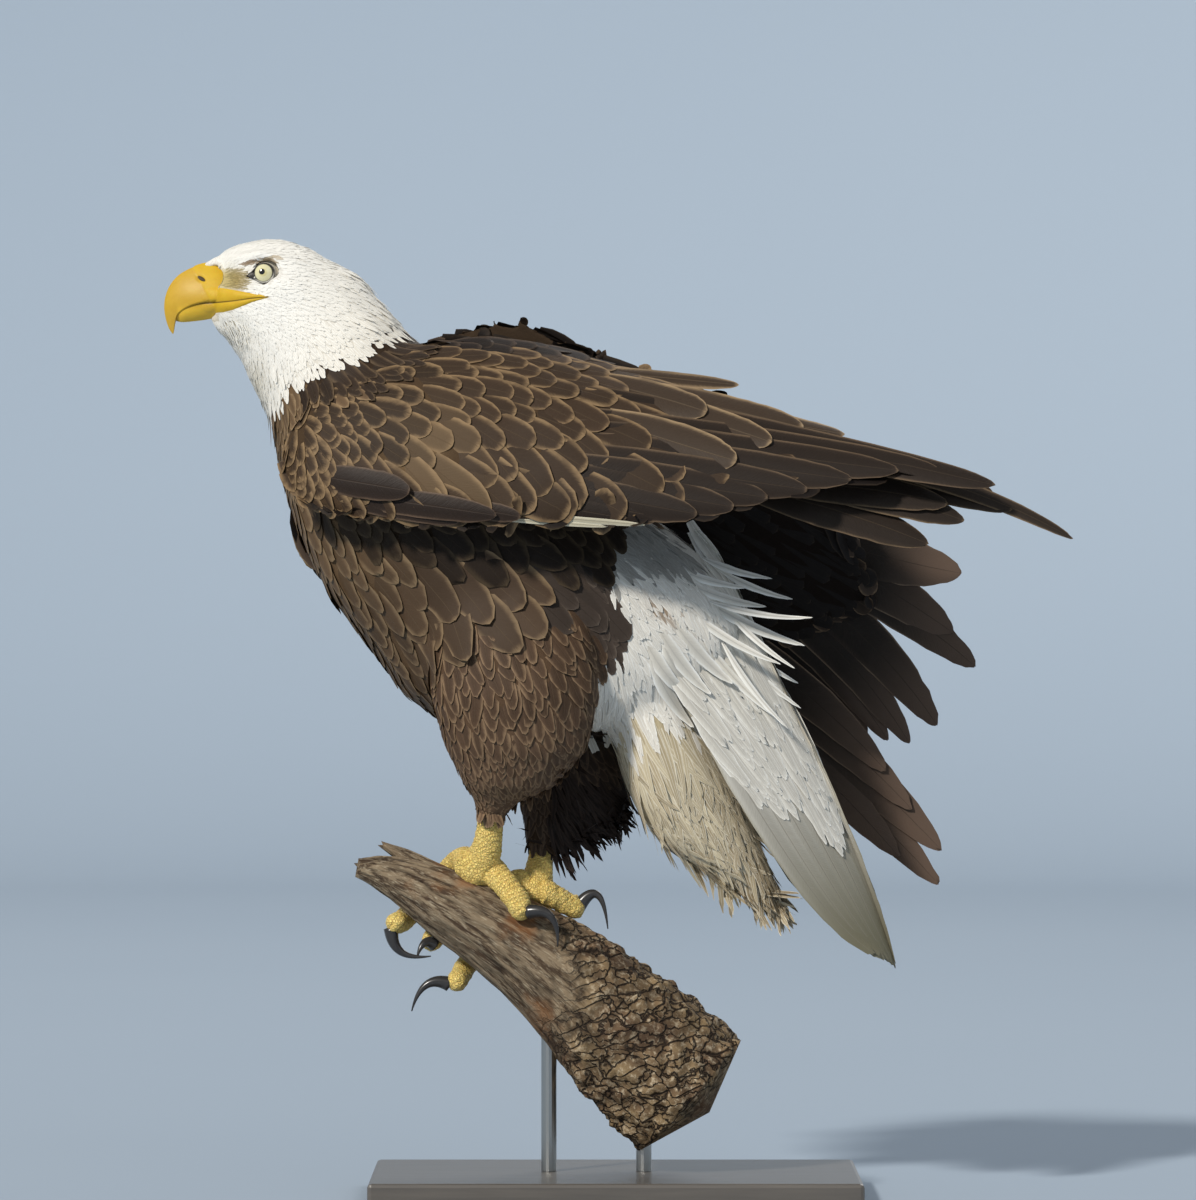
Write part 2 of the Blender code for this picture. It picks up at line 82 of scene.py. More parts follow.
# ---- Lie of the plumage, seen from the side: x, z and the angle of the feathers in degrees above aft.
BODY_LIE = [
    (-318, 728, 70), (-308, 738, 40), (-292, 745, 12), (-268, 748, -6), (-240, 742, -26),
    (-214, 728, -38), (-190, 708, -44), (-168, 684, -40), (-296, 716, -8), (-262, 716, -18),
    (-262, 700, -28), (-240, 690, -40), (-215, 690, -44), (-306, 690, -20), (-296, 676, -48),
    (-286, 655, -62), (-278, 628, -68), (-250, 650, -56), (-220, 650, -50), (-190, 660, -42),
    (-266, 590, -72), (-256, 540, -68), (-236, 490, -60), (-205, 440, -58), (-165, 400, -62),
    (-230, 590, -55), (-200, 600, -38), (-160, 580, -36), (-200, 530, -48), (-160, 520, -40),
    (-100, 520, -38), (-60, 500, -40), (-20, 510, -42), (-150, 450, -55), (-100, 450, -52),
    (-60, 430, -58), (-110, 390, -66), (-60, 380, -66), (0, 520, -40), (20, 470, -48), (-130, 655, -20),
    (-80, 620, -30), (-20, 570, -36), (40, 530, -42), (75, 495, -50), (60, 440, -58), (20, 420, -62),
    (40, 390, -60), (90, 350, -58), (60, 300, -56), (-5, 400, -80), (10, 340, -72), (30, 280, -62),
    (110, 250, -58),
]
THIGH_LIE = [
    (-150, 450, -72), (-90, 450, -68), (-30, 450, -60), (-150, 390, -76), (-90, 390, -78),
    (-20, 390, -62), (-120, 330, -84), (-70, 330, -84), (-20, 330, -52), (-100, 300, -90),
    (0, 330, -50), (-60, 280, -84), (-30, 290, -50),
]
LEFT_WING_LIE = [
    (-258, 585, -72), (-240, 556, -58), (-240, 612, -30), (-214, 640, 12), (-180, 652, 10),
    (-205, 600, -38), (-210, 560, -50), (-170, 620, -26), (-165, 570, -46), (-160, 535, -22),
    (-130, 668, -2), (-110, 625, -30), (-110, 580, -48), (-100, 535, -16), (-50, 660, -14),
    (-50, 610, -36), (-50, 560, -44), (-20, 530, -8), (0, 640, -20), (10, 600, -32), (30, 560, -24),
    (80, 612, -20), (90, 570, -14), (150, 590, -16), (200, 575, -12),
]
RIGHT_WING_LIE = [
    (-252, 550, -75), (-240, 600, -35), (-200, 640, 0), (-210, 560, -60), (-190, 480, -50),
    (-140, 660, -18), (-140, 560, -50), (-130, 450, -20), (-70, 670, -30), (-60, 560, -44),
    (-40, 430, -14), (20, 640, -34), (30, 540, -38), (60, 430, -18), (100, 590, -36), (120, 500, -30),
    (170, 470, -28), (180, 550, -34),
]
# Lower edge of the white neck against the brown mantle and breast
COLLAR = [(-150, 696), (-164, 685), (-186, 668), (-211, 654), (-232, 646), (-254, 631), (-275, 612)]
# Aft edge of the brown flank against the white vent: x at each height
VENT = [
    (296, 0), (335, -20), (391, -32), (408, -24), (424, -6), (452, -2), (487, -14), (508, -24),
    (540, -8), (620, 25),
]

# Stations of the bill: ridge x, z, cutting edge x, z, half width
UPPER_BILL = [
    (-303, 729.0, -298, 699.0, 13.8), (-311, 729.0, -306, 698.4, 14.2),
    (-318, 728.6, -311, 697.9, 13.9), (-324, 727.4, -316, 697.2, 13.2),
    (-330, 725.2, -321, 696.5, 12.3), (-336, 722.3, -326, 695.5, 11.2),
    (-341, 719.0, -330.5, 694.2, 10.0), (-345.5, 714.3, -334.5, 692.6, 8.6),
    (-349, 708.6, -338, 690.7, 7.2), (-351.3, 701.8, -340.8, 688.4, 5.8),
    (-352.1, 695.0, -342.2, 685.6, 4.6), (-351.6, 688.6, -343, 682.8, 3.5),
    (-350.2, 682.6, -343.6, 680.0, 2.5), (-348.2, 677.2, -344.2, 676.4, 1.5),
    (-345.8, 673.6, -344.9, 673.2, 0.6),
]
LOWER_BILL = [
    (-280, 700.0, -284, 690.5, 13.2), (-297, 699.8, -300, 688.5, 12.6),
    (-309, 699.0, -312, 685.8, 11.6), (-320, 697.6, -322, 683.9, 10.0),
    (-330, 695.6, -331.5, 682.8, 8.0), (-337, 693.2, -338, 682.4, 6.2),
    (-342.3, 690.0, -342.6, 683.2, 3.6),
]
NOSTRIL_SLANT = math.radians(32)
# Yellow skin of the gape, along the cheek: x, upper edge z, mouth line z, lower edge z
GAPE = [
    (-318, 711.5, 696.6, 687.6), (-312, 710.8, 697.0, 688.0), (-305, 709.8, 697.4, 688.4),
    (-297, 708.0, 698.0, 690.2), (-289, 705.9, 699.0, 693.4), (-281, 704.2, 699.9, 696.6),
    (-274, 703.2, 700.4, 698.8), (-268, 701.2, 700.8, 700.4),
]

# Perch: axis x, z and radius of the stub, then of its upper splinter
STUB = [
    (-199, 257, 8), (-182, 253, 14), (-160, 244, 20), (-129, 228, 28), (-95, 209, 34), (-59, 185, 40),
    (-25, 158, 47), (4, 130, 54), (34, 102, 58), (58, 80, 59),
]
SPLINTER = [(-181, 274, 2.5), (-166, 266, 6), (-150, 256, 9), (-118, 236, 13), (-92, 216, 14)]
SPLINTER_Y = 9.0

# Legs: x, y, z and radius
LEFT_SHANK = [
    (-97, -31, 316, 6.5), (-97, -28, 300, 9.2), (-98, -25, 285, 10.2), (-101, -19, 270, 12.2),
    (-106, -10, 258, 16.0), (-108, -6, 250, 14.0),
]
RIGHT_SHANK = [
    (-58, 30, 292, 6.0), (-59, 26, 274, 8.2), (-59, 24, 262, 9.8), (-61, 19, 248, 11.8),
    (-65, 13, 236, 15.0), (-66, 11, 230, 13.0),
]
# Toes: stations along the stub, angles round it, radius, clearance of the end
TOE_ROWS = {
    "left_inner": (-131, -157, -27, 178, 10.0, 2), "left_middle": (-125, -128, -4, 150, 10.0, 0),
    "left_outer": (-117, -109, 13, 100, 9.0, 0), "left_hind": (-119, -88, -14, -55, 11.0, 0),
    "right_inner": (-97, -99, 4, 176, 9.5, 8), "right_middle": (-90, -81, 20, 106, 10.0, 0),
    "right_outer": (-79, -60, 36, 98, 8.6, 0), "right_hind": (-82, -60, 4, 14, 10.0, 0),
}
CLAW_PATHS = {
    "left_inner": ((-175, 3, 209), (-167, 1, 191), (-144, -2, 188)),
    "left_middle": ((-142, 14, 197), (-150, 8, 197), (-155, 4, 186)),
    "left_hind": ((-68, -40, 224), (-50, -45, 220), (-45, -41, 197)),
    "right_inner": ((-130, 5, 166), (-148, 3, 165), (-159, 1, 145)),
    "right_hind": ((-29, 14, 226), (-14, 12, 235), (-6, 6, 209)),
}
CLAW_LENGTH = 38.0


# ---- Settings
def colour_setting(name, description, default):
    """A colour property."""
    return bpy.props.FloatVectorProperty(
        name=name, description=description, subtype="COLOR", size=3, min=0.0, max=1.0, default=default)


def length_setting(name, description, default):
    """A length property."""
    return bpy.props.FloatProperty(name=name, description=description, unit="LENGTH", default=default)


def linear(hex_colour):
    """An sRGB hex colour as linear RGB."""
    parts = [int(hex_colour[i:i + 2], 16) / 255 for i in (1, 3, 5)]
    return tuple(c / 12.92 if c <= 0.04045 else ((c + 0.055) / 1.055) ** 2.4 for c in parts)


class EaglePlumage(bpy.types.PropertyGroup):
    """Depth and number of the feathers, and detail of the skin."""
    coat_depth: length_setting("Coat depth", "Depth of the plumage over the skin", 2.5 * MM)
    skin_voxel: length_setting("Skin detail", "Size of the skin's faces", 3.2 * MM)
    spacing: bpy.props.FloatProperty(
        name="Spacing", description="Scale of the distance between feathers", subtype="FACTOR",
        default=1.0, min=0.5, max=3.0)


class EagleHead(bpy.types.PropertyGroup):
    """Bill and eyes."""
    bill: colour_setting("Bill", "Horn of the bill", linear("#C0961C"))
    cere: colour_setting("Cere", "Soft skin at the bill's root", linear("#DDB92C"))
    iris: colour_setting("Iris", "Pale yellow iris of an adult", linear("#F0EBC6"))
    eye_radius: length_setting("Eye radius", "Radius of the eyeball", 11.3 * MM)
    iris_radius: length_setting("Iris radius", "Radius of the iris", 7.3 * MM)


class EagleFeet(bpy.types.PropertyGroup):
    """Legs, toes and claws."""
    skin: colour_setting("Skin", "Scaly skin of the feet", linear("#FFE894"))
    claw: colour_setting("Claw", "Horn of the claws", linear("#1B1B1E"))
    claw_root: length_setting("Claw root", "Radius of a claw at its root", 6.0 * MM)


class EaglePerch(bpy.types.PropertyGroup):
    """Perch and stand."""
    wood: colour_setting("Weathered wood", "Bare grey wood", linear("#8C7B64"))
    bark: colour_setting("Bark", "Bark and stained wood", linear("#97805F"))
    base: colour_setting("Stand", "Stained wood of the base", linear("#4A4744"))


class EagleStage(bpy.types.PropertyGroup):
    """Floor, lights and camera."""
    backdrop: colour_setting("Backdrop", "Plain floor and wall", linear("#9FADBC"))
    distance: length_setting("Camera distance", "Distance from the bird's mid plane", 6.0)
    view_height: length_setting("Framed height", "Height that fills the picture", 0.936)
    centre_x: length_setting("Frame centre X", "Middle of the picture along X", -0.0137)
    centre_z: length_setting("Frame centre Z", "Middle of the picture above the floor", 0.4657)


# ---- Node and material helpers
def add_node(tree, kind, inputs=None, **settings):
    """Adds one shader node. An input is a value or another node's output."""
    node = tree.nodes.new("ShaderNode" + kind)
    for key, value in settings.items():
        setattr(node, key, value)
    for key, value in (inputs or {}).items():
        if isinstance(value, bpy.types.NodeSocket):
            tree.links.new(value, node.inputs[key])
        else:
            node.inputs[key].default_value = value
    return node


def calc(tree, operation, *values):
    """The output of one Math node."""
    return add_node(tree, "Math", dict(enumerate(values)), operation=operation).outputs[0]


def times(tree, one, two):
    """The product of two values."""
    return calc(tree, "MULTIPLY", one, two)


def remap(tree, value, low, high, to_low=0.0, to_high=1.0):
    """A value moved smoothly from one range to another, clamped."""
    inputs = {"Value": value, "From Min": low, "From Max": high, "To Min": to_low, "To Max": to_high}
    return add_node(tree, "MapRange", inputs, interpolation_type="SMOOTHSTEP").outputs["Result"]


def mix(tree, factor, one, two, blend="MIX"):
    """The output of a colour Mix node. Plain colours are RGB."""
    node = tree.nodes.new("ShaderNodeMix")
    node.data_type = "RGBA"
    node.blend_type = blend
    for socket, value in ((node.inputs[0], factor), (node.inputs[6], one), (node.inputs[7], two)):
        if isinstance(value, bpy.types.NodeSocket):
            tree.links.new(value, socket)
        else:
            socket.default_value = (*value, 1.0) if hasattr(value, "__len__") else value
    return node.outputs[2]


def noise(tree, place, scale, detail=4.0, roughness=0.55, distortion=0.0):
    """Cloudy values from 0 to 1."""
    inputs = {"Vector": place, "Scale": scale, "Detail": detail, "Roughness": roughness,
              "Distortion": distortion}
    return add_node(tree, "TexNoise", inputs).outputs["Fac"]


def bump(tree, height, strength, distance_mm):
    """Normals that show a height as relief."""
    inputs = {"Height": height, "Strength": strength, "Distance": distance_mm * MM}
    return add_node(tree, "Bump", inputs).outputs["Normal"]


def dress(tree, shader, colour, height, strength, distance_mm):
    """Gives a shader its colour and its relief."""
    tree.links.new(colour, shader.inputs["Base Color"])
    tree.links.new(bump(tree, height, strength, distance_mm), shader.inputs["Normal"])


def vector(tree, operation, *values):
    """The output of one Vector Math node."""
    node = add_node(tree, "VectorMath", dict(enumerate(values)), operation=operation)
    return node.outputs["Value" if operation == "LENGTH" else "Vector"]


def cell_gap(tree, place, scale):
    """The distance to the edge of a cell in a pattern of cells."""
    inputs = {"Vector": place, "Scale": scale}
    return add_node(tree, "TexVoronoi", inputs, feature="DISTANCE_TO_EDGE").outputs["Distance"]


def combine(tree, *values):
    """A vector from its X, Y and Z."""
    return add_node(tree, "CombineXYZ", dict(enumerate(values))).outputs[0]


def attribute(tree, name, output="Color"):
    """One output of a mesh attribute."""
    return add_node(tree, "Attribute", attribute_name=name).outputs[output]


def shaded(tree, colour, red, green, blue):
    """A colour darkened by a share of each channel."""
    return mix(tree, 1.0, colour, (red, green, blue), "MULTIPLY")


def object_place(tree, stretch=(1.0, 1.0, 1.0), turn=(0.0, 0.0, 0.0)):
    """Object coordinates, turned and then stretched."""
    place = add_node(tree, "TexCoord").outputs["Object"]
    if any(turn):
        place = add_node(tree, "Mapping", {"Vector": place, "Rotation": turn}).outputs[0]
    return add_node(tree, "Mapping", {"Vector": place, "Scale": stretch}).outputs[0]


def new_material(name, **values):
    """A Principled material, with its tree and shader."""
    material = bpy.data.materials.new(name)
    material.use_nodes = True
    tree = material.node_tree
    tree.nodes.clear()
    shader = add_node(tree, "BsdfPrincipled", values)
    add_node(tree, "OutputMaterial", {"Surface": shader.outputs[0]})
    return material, tree, shader


# ---- Mesh helpers
def finish_piece(name, mesh, material, nodes=()):
    """The mesh as a finished piece that rides on the bird and stands for CAD nodes."""
    mesh.materials.clear()
    mesh.materials.append(material)
    mesh.shade_smooth()
    piece = bpy.data.objects.new(name, mesh)
    bpy.context.scene.collection.objects.link(piece)
    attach(piece, "root")
    if nodes:
        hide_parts(*nodes)
    return piece


def mesh_of(bm, name):
    """The bmesh as a mesh. The bmesh is freed."""
    mesh = bpy.data.meshes.new(name)
    bm.to_mesh(mesh)
    bm.free()
    return mesh


def eased(rows, steps):
    """Rows of numbers with steps - 1 more between each pair, on a Catmull-Rom curve."""
    rows = np.array(rows, float)
    place = np.linspace(0, len(rows) - 1, (len(rows) - 1) * steps + 1)
    i = np.minimum(place.astype(int), len(rows) - 2)
    t = (place - i)[:, None]
    a, b = rows[np.maximum(i - 1, 0)], rows[i]
    c, d = rows[i + 1], rows[np.minimum(i + 2, len(rows) - 1)]
    square, cube = 2 * a - 5 * b + 4 * c - d, 3 * b - a - 3 * c + d
    return 0.5 * (2 * b + (c - a) * t + square * t * t + cube * t ** 3)


def places_of(mesh):
    """The places of a mesh's vertices, in metres."""
    return np.array([vert.co for vert in mesh.vertices])


def smooth(bm, passes):
    """Evens out a bmesh."""
    for _ in range(passes):
        bmesh.ops.smooth_vert(bm, verts=bm.verts, factor=0.5, use_axis_x=True, use_axis_y=True,
                              use_axis_z=True)


def unit(vectors):
    """Vectors brought to length 1."""
    return vectors / np.maximum(np.linalg.norm(vectors, axis=-1, keepdims=True), 1e-9)


def tube_mesh(bm, points, radii, segments):
    """A closed tube through points, in mm. Returns its rows of vertices."""
    along = unit(np.gradient(points, axis=0))
    up = np.array([0.0, 0.0, 1.0]) if abs(along[0][2]) < 0.9 else np.array([1.0, 0.0, 0.0])
    rows = []
    for i in range(len(points)):
        side = unit(np.cross(along[i], up))
        up = unit(np.cross(side, along[i]))
        made = bmesh.ops.create_circle(bm, cap_ends=False, segments=segments, radius=1.0)["verts"]
        for k, vert in enumerate(made):
            angle = 2 * math.pi * k / segments
            way = side * math.sin(angle) + up * math.cos(angle)
            vert.co = Vector((points[i] + way * radii[i]) * MM)
        rows.append(made)
    for one, two in zip(rows, rows[1:]):
        for k in range(segments):
            n = (k + 1) % segments
            bm.faces.new((one[k], one[n], two[n], two[k]))
    for row, point, way in ((rows[0], points[0], -along[0]), (rows[-1], points[-1], along[-1])):
        radius = radii[0] if row is rows[0] else radii[-1]
        pole = bm.verts.new(Vector((point + way * radius * 0.35) * MM))
        for k in range(segments):
            bm.faces.new((row[k], row[(k + 1) % segments], pole))
    bmesh.ops.recalc_face_normals(bm, faces=bm.faces)
    return rows


def fused(mesh, voxel, passes):
    """The mesh's overlapping parts as one smooth skin."""
    rough = bpy.data.objects.new("rough", mesh)
    bpy.context.scene.collection.objects.link(rough)
    remesh = rough.modifiers.new("remesh", "REMESH")
    remesh.mode = "VOXEL"
    remesh.voxel_size = voxel
    evaluated = rough.evaluated_get(bpy.context.evaluated_depsgraph_get())
    whole = bpy.data.meshes.new_from_object(evaluated)
    bpy.data.objects.remove(rough)
    bm = bmesh.new()
    bm.from_mesh(whole)
    smooth(bm, passes)
    bm.to_mesh(whole)
    bm.free()
    return whole


def merged_copy(nodes, grow=0.0):
    """One bmesh with the named CAD nodes' shapes, their doubles merged, grown by some mm."""
    bm = bmesh.new()
    for node in nodes:
        part = bmesh.new()
        part.from_mesh(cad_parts[node].data)
        bmesh.ops.remove_doubles(part, verts=part.verts, dist=1e-6)
        part.normal_update()
        moves = [vert.normal * grow * MM for vert in part.verts]
        for vert, move in zip(part.verts, moves):
            vert.co += move
        mesh = mesh_of(part, "part")
        bm.from_mesh(mesh)
        bpy.data.meshes.remove(mesh)
    return bm


def tree_of(nodes):
    """A search tree over CAD nodes, and the number of the node that each of its faces belongs to."""
    points, faces, owner = [], [], []
    for number, node in enumerate(nodes):
        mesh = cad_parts[node].data
        start = len(points)
        points += [vert.co.copy() for vert in mesh.vertices]
        for face in mesh.polygons:
            faces.append([start + index for index in face.vertices])
            owner.append(number)
    return BVHTree.FromPolygons(points, faces), owner


# ---- Skin
# Sculpted forms of the head: centre, reach and push outwards, in mm. y is the distance from the middle
HEAD_FORMS = [
    ((-279, 25, 733), (17, 9, 4.5), 3.0),      # brow ridge over the eye
    ((-296, 20, 730), (10, 8, 5.0), 1.4),      # brow ridge's front
    ((-298, 0, 740), (10, 14, 8), 0.4),        # forehead
    ((-198, 0, 717), (20, 18, 14), 2.2),       # nape
    ((-308, 0, 676), (12, 9, 8), 0.5),         # chin
    ((-297, 0, 662), (12, 12, 18), 1.5),       # throat
    ((-300, 17, 716), (11, 10, 9), -2.2),      # hollow of the lores
    ((-272, 28, 719.6), (12, 9, 10), -0.6),    # eye socket
    ((-258, 30, 707), (18, 12, 9), 1.6),       # cheek
    ((-270, 26, 705), (13, 9, 5), -0.8),       # fold under the eye
    ((-252, 26, 728), (12, 12, 9), 1.0),       # behind the brow
]
# Feathered lobes that lap over the bill's root: centre and reach in mm, tilt in degrees
BILL_FRINGES = [
    ((-313, 0, 729.0), (14, 6.5, 5), -28),     # forehead
    ((-308, 0, 680.8), (12, 8.5, 5), 41),      # chin
]


def sculpt_head(points, normals):
    """Places in metres, moved along their normals by the forms of the head."""
    moved = points.copy()
    for centre, reach, push in HEAD_FORMS:
        for side in (-1, 1):
            middle = np.array([centre[0], centre[1] * side, centre[2]])
            far = (((points / MM - middle) / np.array(reach)) ** 2).sum(1)
            moved += normals * (push * MM * np.exp(-far))[:, None]
    return moved


def make_skin(settings):
    """The bird's skin: the flesh nodes as one surface, drawn in by the coat's depth."""
    flesh = merged_copy(SKIN_NODES, grow=0.5)
    for centre, reach, tilt in BILL_FRINGES:
        lobe = bmesh.ops.create_icosphere(flesh, subdivisions=3, radius=MM)["verts"]
        bmesh.ops.scale(flesh, verts=lobe, vec=reach)
        bmesh.ops.rotate(flesh, verts=lobe, matrix=Matrix.Rotation(math.radians(tilt), 3, "Y"),
                         cent=(0, 0, 0))
        bmesh.ops.translate(flesh, verts=lobe, vec=Vector(centre) * MM)
    skin = fused(mesh_of(flesh, "skin"), settings.skin_voxel, 0)

    bm = bmesh.new()
    bm.from_mesh(skin)
    bmesh.ops.triangulate(bm, faces=bm.faces)
    # The face gets smaller faces than the body
    middles = [(f, f.calc_center_median()) for f in bm.faces]
    face_area = [f for f, middle in middles if middle.x < -0.235 and middle.z > 0.66]
    edges = list({edge for f in face_area for edge in f.edges})
    bmesh.ops.subdivide_edges(bm, edges=edges, cuts=1, use_grid_fill=True)
    bmesh.ops.triangulate(bm, faces=bm.faces)
    smooth(bm, 6)
    bm.normal_update()
    bm.to_mesh(skin)
    tree = BVHTree.FromBMesh(bm)
    depth = []
    for vert in bm.verts:
        hit = tree.ray_cast(vert.co - vert.normal * 0.3 * MM, -vert.normal, 0.05)
        depth.append(min(settings.coat_depth, 0.28 * (hit[3] or 0.05)))
    bm.free()

    points = places_of(skin)
    normals = np.array([vert.normal for vert in skin.vertices])
    depth = np.array(depth)
    # The coat thins from the neck to the face
    fore = np.clip((-220 * MM - points[:, 0]) / (50 * MM), 0, 1)
    depth *= 1 - 0.45 * fore * np.clip((points[:, 2] - 0.63) / 0.05, 0, 1)
    points = sculpt_head(points - normals * depth[:, None], normals)
    skin.vertices.foreach_set("co", points.ravel())
    skin.update()
    return skin


def part_of(points):
    """The number in SKIN_NODES of the node nearest to each place, in metres."""
    tree, owner = tree_of(SKIN_NODES)
    return np.array([owner[tree.find_nearest(Vector(p))[2]] for p in points])


def polyline_side(rows, x, z):
    """How far z is above a line of x, z rows at x, in mm."""
    rows = sorted(rows)
    return z - np.interp(x, [r[0] for r in rows], [r[1] for r in rows])


def vent_edge(z):
    """Where the brown flank ends at a height."""
    return np.interp(z, [r[0] for r in VENT], [r[1] for r in VENT])


def is_white(points, part):
    """Which places, in mm, carry white plumage."""
    x, z = points[:, 0], points[:, 2]
    front = polyline_side(COLLAR, x, z) > 0
    aft = x > vent_edge(z)
    name = np.array(SKIN_NODES)[part]
    head = name == "head"
    white_neck = np.isin(name, ("neck", "trunk")) & front & (x < -140)
    vent = np.isin(name, ("trunk", "rump")) & aft & (z < 540)
    return head | white_neck | vent | (name == "undertail_coverts")


def scatter(skin, wanted, spacing, rng, tries=12):
    """Places spread evenly over the wanted faces, further apart where spacing, in mm, is larger.

    Returns places and normals in metres, and the face numbers.
    """
    points = places_of(skin)
    corners = np.array([face.vertices for face in skin.polygons])[wanted]
    numbers = np.flatnonzero(wanted)
    a, b, c = points[corners[:, 0]], points[corners[:, 1]], points[corners[:, 2]]
    area = np.linalg.norm(np.cross(b - a, c - a), axis=1) / 2
    centre = (a + b + c) / 3
    gap = spacing(centre / MM, numbers) * MM
    weight = area / gap ** 2
    count = int(weight.sum() * tries)
    pick = rng.choice(len(area), count, p=weight / weight.sum())
    one, two = rng.random((2, count, 1))
    over = (one + two) > 1
    one, two = np.where(over, 1 - one, one), np.where(over, 1 - two, two)
    places = a[pick] + (b - a)[pick] * one + (c - a)[pick] * two
    cell = gap.max()
    kept, grid = [], {}
    keys = np.floor(places / cell).astype(int)
    for i in range(count):
        kx, ky, kz = keys[i]
        reach = gap[pick[i]]
        near = (grid.get((kx + dx, ky + dy, kz + dz), ())
                for dx in (-1, 0, 1) for dy in (-1, 0, 1) for dz in (-1, 0, 1))
        place = places[i]
        if any(abs(place[0] - q[0]) < reach and abs(place[1] - q[1]) < reach
               and (place[0] - q[0]) ** 2 + (place[1] - q[1]) ** 2 + (place[2] - q[2]) ** 2 < reach * reach
               for cellful in near for q in cellful):
            continue
        grid.setdefault((kx, ky, kz), []).append(place)
        kept.append(i)
    kept = np.array(kept)
    face_normals = np.array([skin.polygons[i].normal for i in numbers])
    return places[kept], face_normals[pick[kept]], numbers[pick[kept]], gap[pick[kept]]


# How far a root pushes others, how hard, and how far it may drift, in gaps
PUSH_REACH, PUSH, DRIFT = 1.35, 0.22, 0.6


def relax(places, gaps, surface, rounds):
    """Roots pushed apart over the skin until their rows are even.

    Returns places, normals and face numbers.
    """
    moved = places.copy()
    for _ in range(rounds):
        tree = KDTree(len(moved))
        for i, place in enumerate(moved):
            tree.insert(place, i)
        tree.balance()
        shift = np.zeros_like(moved)
        for i, place in enumerate(moved):
            reach = gaps[i] * PUSH_REACH
            for _, j, far in tree.find_range(place, reach):
                if j != i:
                    shift[i] += (place - moved[j]) / max(far, 1e-6) * (reach - far) * PUSH
        moved += shift
        drift = moved - places
        far = np.linalg.norm(drift, axis=1, keepdims=True)
        moved = places + drift * np.minimum(1, DRIFT * gaps[:, None] / np.maximum(far, 1e-9))
        moved = np.array([surface.find_nearest(Vector(place))[0] for place in moved])
    found = [surface.find_nearest(Vector(place)) for place in moved]
    return moved, np.array([hit[1] for hit in found]), np.array([hit[2] for hit in found])


# ---- Vanes: every feather is a small curved vane, and all those of a coat are one mesh
STATION_AT = np.array([0.0, 1 / 3, 2 / 3, 1.0])  # where a vane's four stations stand along it
BAKE_PATCH = 0.003  # size of each vane's patch on the unwrap
NEAR_BLUR, NEAR_POWER = 60.0, 1.6  # how softly and how fast a guide's pull fades, in mm squared


def vane_template(rows, columns):
    """Share along and across of each point of a flat vane, and its faces."""
    bm = bmesh.new()
    bmesh.ops.create_grid(bm, x_segments=columns, y_segments=rows, size=1.0)
    bm.verts.ensure_lookup_table()
    across = np.array([vert.co.x for vert in bm.verts])
    along = np.array([(vert.co.y + 1) / 2 for vert in bm.verts])
    faces = np.array([[vert.index for vert in face.verts] for face in bm.faces])
    bm.free()
    return np.sin(along * math.pi / 2) ** 1.1, across, faces


def lagrange(t):
    """Weights of the four stations at each t, and of their slopes."""
    value, slope = np.ones((len(t), 4)), np.zeros((len(t), 4))
    for i in range(4):
        others = [j for j in range(4) if j != i]
        for j in others:
            value[:, i] *= (t - STATION_AT[j]) / (STATION_AT[i] - STATION_AT[j])
        for j in others:
            part = np.full(len(t), 1 / (STATION_AT[i] - STATION_AT[j]))
            for k in others:
                if k != j:
                    part *= (t - STATION_AT[k]) / (STATION_AT[i] - STATION_AT[k])
            slope[:, i] += part
    return value, slope


# What a feather is like where nothing else is said
PLAIN = {
    "tip": 4.0,        # high is round or square, low is pointed
    "neck": 0.55,      # share of the width at the root
    "rise": 0.07,      # slope away from the skin
    "start": -0.4,     # height of the root over the skin
    "camber": 0.16,    # bend across the vane
    "roll": 0.0,       # tilt of the vane about its shaft
    "fray": 0.04,      # raggedness of the edge
    "rim_width": 1.2,  # mm
    "shaft": 0.4,      # 0 dark, 1 pale
}


class Vanes:
    """Arrays that set each vane of a coat. Lengths are in metres but for the rim's width."""

    def __init__(self, root, normal, lie, long, wide):
        count = len(root)
        self.root, self.normal, self.lie = root, normal, lie
        self.long = np.broadcast_to(long, count).astype(float)
        self.wide = np.broadcast_to(wide, count).astype(float)
        for name, value in PLAIN.items():
            setattr(self, name, np.full(count, value))
        self.start *= MM
        self.sag = np.zeros(count)  # bow of the shaft within the vane
        self.tone, self.rim = np.zeros((count, 3)), np.zeros((count, 3))

    def put(self, **values):
        """Gives every vane the same values."""
        for name, value in values.items():
            getattr(self, name)[:] = value


def lie_field(rows, points, normals):
    """The direction of the plumage at each place, along the skin."""
    guide = np.array(rows, float)
    angle = np.radians(guide[:, 2])
    ways = np.stack([np.cos(angle), np.zeros(len(angle)), np.sin(angle)], 1)
    far = (points[:, None, 0] / MM - guide[:, 0]) ** 2 + (points[:, None, 2] / MM - guide[:, 1]) ** 2
    way = ((1 / (far + NEAR_BLUR) ** NEAR_POWER)[:, :, None] * ways).sum(1)
    way = unit(way)
    way = way - normals * (way * normals).sum(1)[:, None]
    weak = np.linalg.norm(way, axis=1) < 0.25
    way[weak] += np.array([0.0, 0.0, -0.4])
    way = way - normals * (way * normals).sum(1)[:, None]
    return unit(way)


